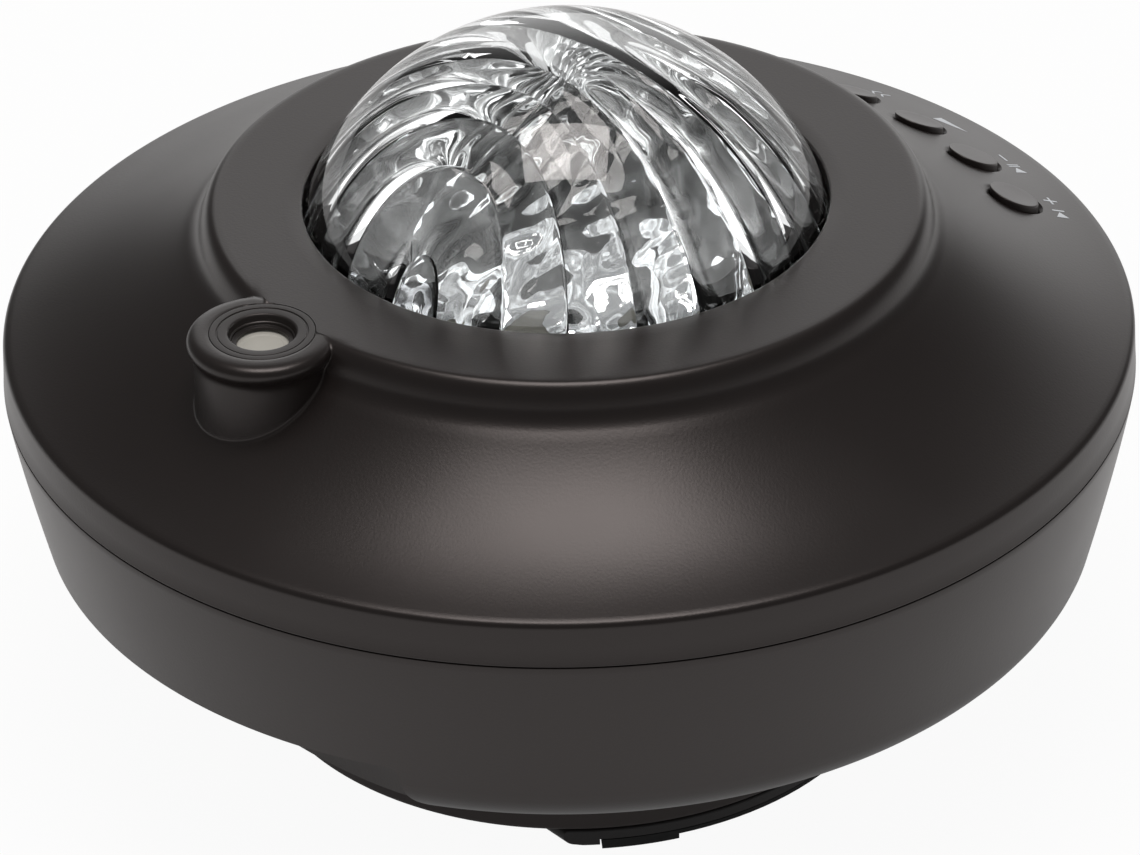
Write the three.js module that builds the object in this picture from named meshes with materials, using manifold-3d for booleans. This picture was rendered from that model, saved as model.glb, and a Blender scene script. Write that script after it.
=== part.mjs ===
// Star projector: a round tabletop light with a clear dome over a turning rippled lens,
// a laser boss that throws star dots, five keys on the shoulder and a fold-out stand.
// Millimetres, +Z up, origin on the ground under the middle. The boss is at the front, -Y.
import * as THREE from 'three';
import { mergeVertices } from 'three/addons/utils/BufferGeometryUtils.js';
import Module from 'manifold-3d';

const wasm = await Module();
wasm.setup();

// General sizes
const gap = 0.3;
const overrun = 1;
const weld = 1e-4;
const fineSides = 32;
const mediumSides = 22;
const coarseSides = 14;
const postSides = 8;
const screwSides = 8;

// Shells
const outerRadius = 84;
const seamHeight = 57.1;
const wall = 2.2;
const lipRise = 2.3;
const ringTop = 83.9;
const holeRadius = 38.7;
const ringWidth = 12.9;
const ringFlatRadius = holeRadius + ringWidth;
const ringEdge = 1.6;
const ringSideRun = 0.8;
const ringSideDrop = 2.2;
const flareTopRun = 1.4;
const flareTopDrop = 1.6;
const flareTopRadius = ringFlatRadius + ringEdge + ringSideRun + flareTopRun;
const flareTopHeight = ringTop - ringEdge - ringSideDrop - flareTopDrop;
const rimInset = 1.7;
const rimRise = 7.3;
const rimRadius = outerRadius - rimInset;
const rimHeight = seamHeight + rimRise;
const flareBendShares = [0.465, 0.284];
const rimRound = 1.4;
const bandDraft = 0.3;

// Bowl
const sideBendInset = 1.8;
const sideBendDrop = 11.1;
const kneeInset = 5.6;
const kneeRise = 18.4;
const cornerInset = 6.6;
const cornerRise = 15.3;
const turnInset = 11.6;
const turnRise = 12.2;
const bellyShares = [0.544, 0.475];
const footHeight = 12;
const footLedge = 1.3;
const mouthLedge = 11.1;

// Recess for the sockets
const recessHalfWidth = 41;
const recessShare = 0.28198;
const recessTop = 34.5;

// Boss, its bezel and its lens
const bossSetOut = 5.3;
const bossDistance = ringFlatRadius + bossSetOut;
const bossRadius = 10.9;
const bossFootRadius = 10.2;
const bossNeckRadius = 9.85;
const bossNeckDrop = 3.4;
const bossLipDrop = 1.6;
const bossFaceRadius = 8.7;
const bossDepth = 16.2;
const bezelRadius = 7.6;
const bezelHole = 4.9;
const bezelChamfer = 0.6;
const bezelDepth = 8.6;
const bezelLedge = 1.9;
const apertureRadius = 3.9;
const apertureLip = 0.5;
const apertureLensRadius = 5.9;
const apertureLensDepth = 2.4;
const beamHoleRadius = 5;

// Dome and its clamp ring
const domeOversize = 1.05;
const domeCentreDrop = 13.75;
const domeRadius = holeRadius + domeOversize;
const domeCentreHeight = ringTop - domeCentreDrop;
const domeWall = 2.2;
const domeFlangeWidth = 3.25;
const domeFlangeRadius = domeRadius + domeFlangeWidth;
const domeFlangeThickness = 2;
const sealRibDrop = 2.9;
const sealRibWall = 2.6;
const sealRibOuter = domeFlangeRadius;
const sealRibInner = sealRibOuter - sealRibWall;
const domeFlangeTop = ringTop - wall - sealRibDrop - gap;
const retainerLap = 4.4;
const retainerInner = domeFlangeRadius - retainerLap;
const retainerWidth = 6.8;
const retainerOuter = retainerInner + retainerWidth;
const retainerThickness = 2.2;
const retainerPostCircle = ringFlatRadius - ringEdge;
const retainerPostRadius = 2.8;
const retainerEarRadius = 3.4;

// Buttons and their board
const buttonCount = 5;
const buttonShare = 0.57993;
const buttonCircle = flareTopRadius + (rimRadius - flareTopRadius) * buttonShare;
const buttonSpacing = 10.9;
const buttonRadius = 3.8;
const buttonProud = 1.1;
const buttonFlangeRadius = 4.9;
const buttonFlangeThickness = 1;
const buttonTravel = 0.5;
const switchSide = 6;
const switchHeight = 2.6;
const plungerRadius = 1.7;
const plungerHeight = 0.7;
const buttonBoardReachIn = 7;
const buttonBoardReachOut = 6.4;
const buttonBoardInner = buttonCircle - buttonBoardReachIn;
const buttonBoardOuter = buttonCircle + buttonBoardReachOut;
const buttonBoardHalfAngle = 29;
const boardThickness = 1.6;

// Chassis
const chassisMargin = 2.5;
const chassisRise = 5.8;
const chassisTop = recessTop + wall + chassisRise;
const chassisThickness = 2.5;
const chassisVent = 8;
const stackCircle = 45.5;
const stackPostRadius = 3.6;
const stackScrewDepth = 9;
const wireHoleRadius = 3.2;

// Gear deck, lens and reflector
const deckDrop = 4.85;
const deckHeight = domeCentreHeight - deckDrop;
const deckThickness = 2.2;
const deckInner = 31.4;
const deckOuter = 51.8;
const deckLegRadius = 3;
const collarInner = 33.2;
const collarOuter = 34.7;
const lensRadius = 34.2;
const lensWall = 1.5;
const lensPleat = 0.8;
const lensPleatCount = 24;
const lensTwist = 0.9;
const lensSkirtInner = 35.1;
const lensSkirtHeight = 3.2;
const lensTeeth = 62;
const gearModule = 1.2;
const gearAddendum = 0.9;
const gearDedendum = 1.25;
const gearBacklash = 0.12;
const ripplePinionTeeth = 10;
const shaftRadius = 1;
const rippleMotorRadius = 7.4;
const rippleMotorLength = 14;
const cupRimRadius = 32.8;
const cupRimThickness = 1.2;
const cupMouthRadius = 30.6;
const cupThroatRadius = 12.4;
const cupWall = 1.2;

// Lamps
const heatSinkRadius = 15;
const heatSinkBase = 3;
const heatSinkFinHeight = 5.2;
const heatSinkFinThickness = 1.2;
const heatSinkFinCount = 7;
const ledBoardRadius = 13.4;
const ledBoardThickness = 1.4;
const ledSide = 3.6;
const ledHeight = 1.1;
const ledDomeRadius = 1.5;
const ledSpread = 4.6;
const solder = 0.2;

// Laser and star wheel
const laserRadius = 5.6;
const laserLength = 12;
const laserNoseRadius = 2.6;
const laserNoseLength = 1.6;
const holderBore = 5.9;
const holderRadius = 7.9;
const holderFlangeRadius = 10.6;
const holderFlangeThickness = 2;
const holderHeight = 17.8;
const holderCollarRadius = 6.3;
const holderCollarRise = 2.4;
const holderBeam = 4.4;
const gratingTeeth = 22;
const gratingThickness = 2.6;
const gratingBore = 6.7;
const gratingFilmRadius = 8.6;
const gratingFilmThickness = 0.7;
const gratingPinionTeeth = 8;
const gratingMotorRadius = 5;
const gratingMotorLength = 14.4;
const gratingMotorAngle = 150;
const clampWall = 1.8;
const clampThickness = 3;
const clampRise = 8;

// Electronics
const mainBoardHalfWidth = 26.5;
const mainBoardNear = 20;
const mainBoardFar = 56;
const speakerHoleX = -20;
const speakerHoleY = 10;
const powerHoleX = -33;
const powerHoleY = 12;
const boardPostRise = 2.4;
const boardPostRadius = 2.6;
const boardEdge = 3.6;
const socketBoardHalfWidth = 29.5;
const socketBoardBottom = 20.8;
const socketBoardTop = 34;
const socketPostX = 25.5;
const socketPostHeight = 27.5;
const socketPostRadius = 3;
const socketDepth = 11.8;
const powerSocketX = 16.7;
const socketDrop = 10.1;
const socketHeight = recessTop - socketDrop;
const powerSocketHole = 4.1;
const powerSocketRadius = 3.8;
const powerSocketBore = 2.8;
const powerSocketPin = 0.6;
const powerSocketBody = 9.2;
const usbSocketX = -6;
const usbWidth = 13.2;
const usbHeight = 5.8;
const usbWall = 0.5;
const usbTongue = 1.7;
const usbTongueShare = 0.78;

// Foot, speaker and stand
const baseRadius = 48.3;
const footRadius = baseRadius + footLedge;
const mouthRadius = footRadius - mouthLedge;
const recessDistance = footRadius + (outerRadius - footRadius) * recessShare;
const baseWall = 2.3;
const baseBottom = 4;
const baseFloor = 2.4;
const grilleRadius = 19;
const grilleSlotWidth = 1.8;
const grilleSlotCount = 7;
const grillePitch = 4.6;
const basePostInset = 6;
const basePostCircle = baseRadius - basePostInset;
const basePostRadius = 3.3;
const speakerRadius = 26;
const speakerFlange = 1.3;
const basketThroat = 11.5;
const basketHeight = 7.2;
const basketWall = 1.1;
const basketWindow = 9;
const coneEdgeRadius = 20.5;
const coneThroatRadius = 6;
const coneHeight = 4.4;
const coneWall = 0.8;
const magnetRadius = 11;
const magnetHeight = 7;
const speakerScrewCircle = 23.8;
const legInset = 0.5;
const legWidth = 7;
const legOuter = baseRadius - legInset;
const legInner = legOuter - legWidth;
const legBottom = 0.9;
const legTop = 3.7;
const hingeShares = [0.62745, 0.76471];
const hingeY = -legInner * hingeShares[1];
const hingeHeight = 2.5;
const hingeBarrel = 1.3;
const hingePin = 0.8;
const hingeLugX = legInner * hingeShares[0];
const hingeTaper = 3.2;
const eyeFirstAngle = 80;
const eyeSweep = 190;
const lugWidth = 3.2;
const lugHalfDepth = 1.9;
const padCount = 5;
const padFirstAngle = -29;
const padSpan = 14;
const padInset = 2.2;
const padInner = legInner + padInset;
const padTop = 1.7;

// Screws: head radius, head height, shank radius, and the clear hole for a shank
const screwHead = 2.6;
const screwHeadHeight = 1.9;
const screwShank = 1.2;
const screwHole = 1.5;
const smallHead = 1.9;
const smallHeadHeight = 1.2;
const smallShank = 0.8;
const smallHole = 1.1;

// Screw posts that join the two shells
const shellPostInset = 13.5;
const shellPostCircle = outerRadius - shellPostInset;
const shellPostRadius = 4.4;
const shellPostRise = 1.1;
const shellPostTop = seamHeight + shellPostRise;
const shellScrewDepth = 8.1;
const shellScrewSeat = seamHeight - shellScrewDepth;
const shellScrewLength = 13;

// Wires
const wireRadius = 0.9;
const wireSides = 8;
const wireSteps = 16;

// Heights and places that follow from the sizes above
const baseInside = baseBottom + baseFloor;
const chassisRadius = shellPostCircle - shellPostRadius - chassisMargin;
const chassisBottom = chassisTop - chassisThickness;
const deckTop = deckHeight + deckThickness;
const skirtBottom = deckTop + gap;
const skirtTop = skirtBottom + lensSkirtHeight;
const lensPitchRadius = lensTeeth * gearModule / 2;
const ripplePitchRadius = ripplePinionTeeth * gearModule / 2;
const rippleMotorX = lensPitchRadius + ripplePitchRadius + gearBacklash;
const heatSinkBottom = chassisTop + gap;
const heatSinkTop = heatSinkBottom + heatSinkFinHeight + heatSinkBase;
const ledBoardBottom = heatSinkTop + gap;
const ledBoardTop = ledBoardBottom + ledBoardThickness;
const holderBottom = chassisTop + gap;
const holderTop = holderBottom + holderHeight;
const gratingBottom = holderTop + gap;
const gratingTop = gratingBottom + gratingThickness;
const gratingPitchRadius = gratingTeeth * gearModule / 2;
const gratingPinionPitch = gratingPinionTeeth * gearModule / 2;
const gratingCentreDistance = gratingPitchRadius + gratingPinionPitch + gearBacklash;
const gratingMotorX = gratingCentreDistance * Math.cos(radians(gratingMotorAngle));
const gratingMotorY = gratingCentreDistance * Math.sin(radians(gratingMotorAngle)) - bossDistance;
const mainBoardBottom = chassisTop + boardPostRise + gap;
const mainBoardTop = mainBoardBottom + boardThickness;
const recessFaceY = -recessDistance;
const recessWallY = recessFaceY + wall;
const socketFrontY = recessFaceY;
const socketBackY = socketFrontY + socketDepth;
const socketBoardFrontY = socketBackY + gap;
const socketBoardBackY = socketBoardFrontY + boardThickness;
const speakerBottom = baseInside + gap;
const basketTop = speakerBottom + speakerFlange + basketHeight;
const magnetBottom = basketTop + gap;
const magnetTop = magnetBottom + magnetHeight;

function radians(degrees) {
  return degrees * Math.PI / 180;
}

function onCircle(radius, degrees) {
  return [radius * Math.cos(radians(degrees)), radius * Math.sin(radians(degrees))];
}

function quarterAngles(first) {
  return [0, 1, 2, 3].map((index) => first + index * 360 / 4);
}

function thirdAngles(first) {
  return [0, 1, 2].map((index) => first + index * 360 / 3);
}

// Solids

function solid(geometry) {
  const bare = geometry.clone();
  bare.deleteAttribute('normal');
  bare.deleteAttribute('uv');
  const merged = mergeVertices(bare, weld);
  const place = merged.attributes.position;
  const corners = [];
  let volume = 0;
  const a = new THREE.Vector3();
  const b = new THREE.Vector3();
  const c = new THREE.Vector3();
  for (let i = 0; i < merged.index.count; i += 3) {
    const [p, q, r] = [0, 1, 2].map((k) => merged.index.getX(i + k));
    if (p === q || q === r || r === p) continue;
    corners.push(p, q, r);
    a.fromBufferAttribute(place, p);
    b.fromBufferAttribute(place, q);
    c.fromBufferAttribute(place, r);
    volume += a.dot(b.cross(c));
  }
  if (volume < 0) corners.reverse();
  const vertProperties = new Float32Array(place.array);
  const triVerts = new Uint32Array(corners);
  return new wasm.Manifold(new wasm.Mesh({ numProp: 3, vertProperties, triVerts }));
}

function join(...parts) {
  return parts.reduce((whole, part) => whole.add(part));
}

function cut(whole, ...tools) {
  return tools.reduce((left, tool) => left.subtract(tool), whole);
}

function turned(points, sides) {
  const geometry = new THREE.LatheGeometry(points.map(([r, z]) => new THREE.Vector2(r, z)), sides);
  return solid(geometry.rotateX(Math.PI / 2));
}

function turnedRing(points, sides) {
  return turned([...points, points[0]], sides);
}

function rod(radius, low, high, sides, x = 0, y = 0) {
  const geometry = new THREE.CylinderGeometry(radius, radius, high - low, sides);
  geometry.rotateX(Math.PI / 2);
  return solid(geometry.translate(x, y, (low + high) / 2));
}

function bossRod(radius, low, high, sides) {
  return rod(radius, low, high, sides, 0, -bossDistance);
}

function rodAlongY(radius, near, far, sides, x, z) {
  const geometry = new THREE.CylinderGeometry(radius, radius, far - near, sides);
  return solid(geometry.translate(x, (near + far) / 2, z));
}

function rodAlongX(radius, left, right, sides, y, z) {
  const geometry = new THREE.CylinderGeometry(radius, radius, right - left, sides);
  geometry.rotateZ(Math.PI / 2);
  return solid(geometry.translate((left + right) / 2, y, z));
}

function tube(inner, outer, low, high, sides) {
  return turnedRing([[inner, low], [outer, low], [outer, high], [inner, high]], sides);
}

function block(x0, x1, y0, y1, z0, z1) {
  const geometry = new THREE.BoxGeometry(x1 - x0, y1 - y0, z1 - z0);
  return solid(geometry.translate((x0 + x1) / 2, (y0 + y1) / 2, (z0 + z1) / 2));
}

function prism(outline, low, high) {
  const shape = new THREE.Shape(outline.map(([x, y]) => new THREE.Vector2(x, y)));
  const geometry = new THREE.ExtrudeGeometry(shape, { depth: high - low, bevelEnabled: false });
  return solid(geometry.translate(0, 0, low));
}

function prismAlongX(outline, left, right) {
  return prism(outline, left, right).rotate([90, 0, 90]);
}

function arcBand(inner, outer, from, to, low, high, steps) {
  const outline = [];
  for (let i = 0; i <= steps; i += 1) outline.push(onCircle(outer, from + (to - from) * i / steps));
  for (let i = steps; i >= 0; i -= 1) outline.push(onCircle(inner, from + (to - from) * i / steps));
  return prism(outline, low, high);
}

function curvePoints(points, steps) {
  const curve = new THREE.QuadraticBezierCurve(...points.map(([r, z]) => new THREE.Vector2(r, z)));
  return curve.getPoints(steps).map((point) => [point.x, point.y]);
}

// The same outline moved square to itself by a distance, towards its right-hand side.
function offsetOutline(points, distance) {
  return points.map((point, index) => {
    const before = points[Math.max(index - 1, 0)];
    const after = points[Math.min(index + 1, points.length - 1)];
    const [dx, dy] = [after[0] - before[0], after[1] - before[1]];
    const length = Math.hypot(dx, dy);
    return [point[0] + distance * dy / length, point[1] - distance * dx / length];
  });
}

// A screw along Z, its head's seat at seatHeight; turn is 1 with the head on top, -1 below.
function screw(x, y, seatHeight, turn, length, head, headHeight, shank) {
  const outline = [[0, 0], [head, 0], [head, headHeight], [shank, headHeight]];
  outline.push([shank, headHeight + length], [0, headHeight + length]);
  const body = turned(outline, screwSides);
  if (turn > 0) return body.rotate([180, 0, 0]).translate([x, y, seatHeight + headHeight]);
  return body.translate([x, y, seatHeight - headHeight]);
}

function gearOutline(teeth, phase) {
  const pitch = teeth * gearModule / 2;
  const step = 2 * Math.PI / teeth;
  const rootShare = 0.29;
  const tipShare = 0.11;
  const outline = [];
  for (let i = 0; i < teeth; i += 1) {
    const middle = i * step + phase;
    const low = pitch - gearDedendum;
    const high = pitch + gearAddendum;
    const corners = [[low, -rootShare], [high, -tipShare], [high, tipShare], [low, rootShare]];
    for (const [radius, share] of corners) {
      const angle = middle + share * step;
      outline.push([radius * Math.cos(angle), radius * Math.sin(angle)]);
    }
  }
  return outline;
}

// Shell outlines

const rimStart = [rimRadius, rimHeight];
const bandTop = [outerRadius - bandDraft, rimHeight - rimRound];
const flareBend = [
  flareTopRadius + flareBendShares[0] * (rimRadius - flareTopRadius),
  rimHeight + flareBendShares[1] * (flareTopHeight - rimHeight),
];

function shoulderOuter(flareSteps) {
  const flare = [[flareTopRadius, flareTopHeight], flareBend, rimStart];
  const rim = [rimStart, [outerRadius - bandDraft, rimHeight], bandTop];
  const edge = [[ringFlatRadius, ringTop], [ringFlatRadius + ringEdge, ringTop]];
  edge.push([ringFlatRadius + ringEdge, ringTop - ringEdge]);
  const sideFoot = [ringFlatRadius + ringEdge + ringSideRun, ringTop - ringEdge - ringSideDrop];
  return [
    ...curvePoints(edge, 2),
    sideFoot,
    ...curvePoints(flare, flareSteps),
    ...curvePoints(rim, 2).slice(1),
    [outerRadius, seamHeight + gap / 2],
  ];
}

function bowlOuter(steps) {
  const seam = [outerRadius, seamHeight - gap / 2];
  const sideBend = [outerRadius - sideBendInset, seamHeight - sideBendDrop];
  const knee = [outerRadius - kneeInset, footHeight + kneeRise];
  const corner = [outerRadius - cornerInset, footHeight + cornerRise];
  const turn = [outerRadius - turnInset, footHeight + turnRise];
  const foot = [footRadius, footHeight];
  const belly = bellyShares.map((share, axis) => foot[axis] + share * (turn[axis] - foot[axis]));
  return [
    ...curvePoints([seam, sideBend, knee], steps),
    ...curvePoints([knee, corner, turn], 2).slice(1),
    ...curvePoints([turn, belly, foot], 2).slice(1),
  ];
}

function flareUndersideAt(radius) {
  const inner = offsetOutline(shoulderOuter(12), wall);
  const index = inner.findIndex(([r], i) => i > 2 && r >= radius);
  const [r0, z0] = inner[index - 1];
  const [r1, z1] = inner[index];
  return z0 + (z1 - z0) * (radius - r0) / (r1 - r0);
}

function flareTopAt(radius) {
  const outer = shoulderOuter(12);
  const index = outer.findIndex(([r], i) => i > 2 && r >= radius);
  const [r0, z0] = outer[index - 1];
  const [r1, z1] = outer[index];
  return z0 + (z1 - z0) * (radius - r0) / (r1 - r0);
}

// Places that repeat

const buttonFlangeTop = flareUndersideAt(buttonCircle + buttonFlangeRadius) - gap;
const buttonFlangeHeight = buttonFlangeTop - buttonFlangeThickness;
const buttonBoardTop = buttonFlangeHeight - buttonTravel - gap / 3 - plungerHeight - switchHeight;
const buttonBoardBottom = buttonBoardTop - boardThickness;
const plugTop = mainBoardTop + 4 * boardThickness;
const wirePlugs = {
  speaker: [-mainBoardHalfWidth / 2, mainBoardNear + 2 * boardEdge],
  motor: [mainBoardHalfWidth / 2, mainBoardNear + 2 * boardEdge],
  power: [2 * boardEdge - mainBoardHalfWidth, (mainBoardNear + mainBoardFar) / 2],
};
const wireHoles = [[speakerHoleX, speakerHoleY], [powerHoleX, powerHoleY]];

const shellPostAngles = quarterAngles(45);
const stackAngles = quarterAngles(45);
const basePostAngles = thirdAngles(-90);
const retainerAngles = thirdAngles(90);
const speakerScrewAngles = [0, 180];
const buttonAngles = Array.from({ length: buttonCount }, (_, index) => (
  90 + (index - (buttonCount - 1) / 2) * buttonSpacing
));
const buttonBoardPostAngles = [90 - 1.5 * buttonSpacing, 90 + 1.5 * buttonSpacing];
const boardCornerX = mainBoardHalfWidth - boardEdge;
const boardNearY = mainBoardNear + boardEdge;
const boardFarY = mainBoardFar - boardEdge;
const mainBoardCorners = [[-boardCornerX, boardNearY], [boardCornerX, boardFarY]];
const mainBoardPegs = [[boardCornerX, boardNearY], [-boardCornerX, boardFarY]];

// Casing

function upperShell() {
  const outer = shoulderOuter(3);
  const skin = turned([[0, ringTop], ...outer, [0, seamHeight + gap / 2]], fineSides);
  const ringBottom = ringTop - wall;
  const ribBottom = domeFlangeTop + gap;
  const inner = offsetOutline(shoulderOuter(2).slice(2), wall).filter(([r]) => r < outerRadius - wall);
  inner.push([outerRadius - wall, seamHeight + gap / 2]);
  let shell = turnedRing([
    [holeRadius, ringTop], ...outer, ...inner.reverse(),
    [ringFlatRadius - ringEdge, ringBottom], [sealRibOuter, ringBottom], [sealRibOuter, ribBottom],
    [sealRibInner, ribBottom], [sealRibInner, ringBottom], [holeRadius, ringBottom],
  ], fineSides);
  const bossBottom = ringTop - bossDepth;
  const neck = ringTop - bossNeckDrop;
  const boss = turned([
    [0, bossBottom], [bossFootRadius, bossBottom], [bossNeckRadius, neck],
    [bossRadius, ringTop - bossLipDrop], [(bossRadius * 2 + bossFaceRadius) / 3, ringTop - bossLipDrop / 4],
    [bossFaceRadius, ringTop], [0, ringTop],
  ], mediumSides).translate([0, -bossDistance, 0]);
  const bezelFloor = ringTop - bezelDepth - gap;
  const cavityTop = bezelFloor - bezelLedge;
  shell = join(shell, boss);
  shell = cut(shell, bossRod(bossFootRadius - wall, bossBottom - overrun, cavityTop, mediumSides));
  shell = cut(shell, bossRod(bezelRadius + gap, bezelFloor, ringTop + overrun, mediumSides));
  shell = cut(shell, bossRod(beamHoleRadius, cavityTop - overrun, bezelFloor + overrun, coarseSides));
  for (const angle of buttonAngles) {
    const [x, y] = onCircle(buttonCircle, angle);
    shell = cut(shell, rod(buttonRadius + gap, seamHeight, ringTop, coarseSides, x, y));
  }
  const posts = [];
  for (const angle of shellPostAngles) {
    const [x, y] = onCircle(shellPostCircle, angle);
    const post = rod(shellPostRadius, shellPostTop, ringTop, postSides, x, y).intersect(skin);
    const end = flareUndersideAt(shellPostCircle + screwHole);
    posts.push(cut(post, rod(screwHole, shellPostTop - overrun, end, screwSides, x, y)));
  }
  for (const angle of buttonBoardPostAngles) {
    const [x, y] = onCircle(buttonCircle, angle);
    const post = rod(smallHead, buttonBoardTop + gap, ringTop, postSides, x, y).intersect(skin);
    const end = flareUndersideAt(buttonCircle + smallHole);
    posts.push(cut(post, rod(smallHole, buttonBoardTop, end, screwSides, x, y)));
  }
  for (const angle of retainerAngles) {
    const [x, y] = onCircle(retainerPostCircle, angle);
    const bottom = domeFlangeTop - domeFlangeThickness - gap;
    const post = rod(retainerPostRadius, bottom, ringBottom + wall / 2, postSides, x, y);
    posts.push(cut(post, rod(smallHole, bottom - overrun, ringBottom, screwSides, x, y)));
  }
  return join(shell, ...posts);
}

function lowerShell() {
  const outer = bowlOuter(3);
  const inner = offsetOutline(bowlOuter(2), wall).reverse();
  const lipOuter = outerRadius - wall - gap;
  const floorTop = footHeight + wall;
  let shell = turnedRing([
    ...outer, [mouthRadius, footHeight], [mouthRadius, floorTop], [footRadius - wall / 2, floorTop],
    ...inner.slice(1, -1),
    [lipOuter - wall, seamHeight - wall], [lipOuter - wall, seamHeight + lipRise],
    [lipOuter, seamHeight + lipRise], [lipOuter, seamHeight - gap / 2],
  ], fineSides);
  // The recess is a pocket with its own back, roof and side walls.
  const low = footHeight + wall / 2;
  const reach = -outerRadius - overrun;
  const bowlSolid = turned([[0, outer[0][1]], ...outer, [0, footHeight]], fineSides);
  const pocketWalls = block(
    -recessHalfWidth - wall, recessHalfWidth + wall, reach, recessWallY, low, recessTop + wall,
  );
  shell = join(shell, pocketWalls.intersect(bowlSolid));
  shell = cut(shell, block(-recessHalfWidth, recessHalfWidth, reach, recessFaceY, 0, recessTop));
  shell = cut(shell, rodAlongY(
    powerSocketHole, reach, recessWallY + overrun, coarseSides, powerSocketX, socketHeight,
  ));
  shell = cut(shell, block(
    usbSocketX - usbWidth / 2 - gap, usbSocketX + usbWidth / 2 + gap, reach, recessWallY + overrun,
    socketHeight - usbHeight / 2 - gap, socketHeight + usbHeight / 2 + gap,
  ));
  const posts = [];
  for (const side of [-1, 1]) {
    const x = side * socketPostX;
    const postFront = recessWallY - wall / 2;
    const post = rodAlongY(socketPostRadius, postFront, socketBackY, postSides, x, socketPostHeight);
    posts.push(cut(post, rodAlongY(
      smallHole, recessWallY + wall, socketBackY + overrun, screwSides, x, socketPostHeight,
    )));
  }
  for (const angle of stackAngles) {
    const [x, y] = onCircle(stackCircle, angle);
    const post = rod(stackPostRadius, footHeight + wall / 2, chassisBottom - gap, postSides, x, y);
    const hole = rod(screwHole, chassisBottom - stackScrewDepth - wall, chassisBottom, screwSides, x, y);
    posts.push(cut(post, hole));
  }
  const footPostTop = footHeight + shellScrewLength / 2;
  for (const angle of basePostAngles) {
    const [x, y] = onCircle(basePostCircle, angle);
    posts.push(rod(basePostRadius, footHeight + wall / 2, footPostTop, postSides, x, y));
  }
  shell = join(shell, ...posts.map((post) => post.intersect(bowlSolid)));
  for (const angle of basePostAngles) {
    const [x, y] = onCircle(basePostCircle, angle);
    shell = cut(shell, rod(screwHole, footHeight - overrun, footPostTop - wall / 2, screwSides, x, y));
  }
  for (const angle of shellPostAngles) {
    const [x, y] = onCircle(shellPostCircle, angle);
    const post = rod(shellPostRadius, footHeight, shellPostTop - gap, postSides, x, y);
    const aboveSeam = rod(shellPostRadius, seamHeight - wall, shellPostTop, postSides, x, y);
    shell = join(shell, post.intersect(join(bowlSolid, aboveSeam)));
    shell = cut(shell, rod(screwHole, shellScrewSeat - overrun, shellPostTop, screwSides, x, y));
    shell = cut(shell, rod(screwHead + gap, footHeight, shellScrewSeat, postSides, x, y));
  }
  return shell;
}

function shellScrews() {
  return shellPostAngles.map((angle) => {
    const [x, y] = onCircle(shellPostCircle, angle);
    const seat = shellScrewSeat - gap;
    return screw(x, y, seat, -1, shellScrewLength, screwHead, screwHeadHeight, screwShank);
  });
}

function basePlate() {
  const top = footHeight - gap;
  let base = turned([
    [0, baseBottom], [baseRadius - baseWall / 4, baseBottom], [baseRadius, baseBottom + baseWall / 4],
    [baseRadius, top], [baseRadius - baseWall, top], [baseRadius - baseWall, baseInside], [0, baseInside],
  ], fineSides);
  const slots = [];
  for (let i = 0; i < grilleSlotCount; i += 1) {
    const y = (i - (grilleSlotCount - 1) / 2) * grillePitch;
    const half = Math.sqrt(grilleRadius ** 2 - y ** 2);
    const edges = [y - grilleSlotWidth / 2, y + grilleSlotWidth / 2];
    slots.push(block(-half, half, ...edges, baseBottom - overrun, baseInside + overrun));
  }
  base = cut(base, ...slots);
  for (const angle of basePostAngles) {
    const [x, y] = onCircle(basePostCircle, angle);
    const seat = baseInside + screwHeadHeight;
    base = join(base, rod(basePostRadius + gap, baseBottom + baseFloor / 2, top, postSides, x, y));
    base = cut(base, rod(screwHead + gap, baseBottom - overrun, seat, postSides, x, y));
    base = cut(base, rod(screwHole, seat - overrun, top + overrun, screwSides, x, y));
  }
  for (const side of [-1, 1]) {
    const faces = [side * (hingeLugX - lugWidth), side * hingeLugX];
    const [left, right] = [Math.min(...faces), Math.max(...faces)];
    const lug = block(left, right, hingeY - lugHalfDepth, hingeY + lugHalfDepth, legBottom, baseInside);
    const ends = [left - overrun, right + overrun];
    base = cut(join(base, lug), rodAlongX(hingePin + gap, ...ends, postSides, hingeY, hingeHeight));
  }
  return base;
}

function baseScrews() {
  return basePostAngles.map((angle) => {
    const [x, y] = onCircle(basePostCircle, angle);
    const seat = baseInside + screwHeadHeight - gap;
    const length = footHeight - seat + shellScrewLength / 2 - wall;
    return screw(x, y, seat, -1, length, screwHead, screwHeadHeight, screwShank);
  });
}

// Stand

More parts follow.
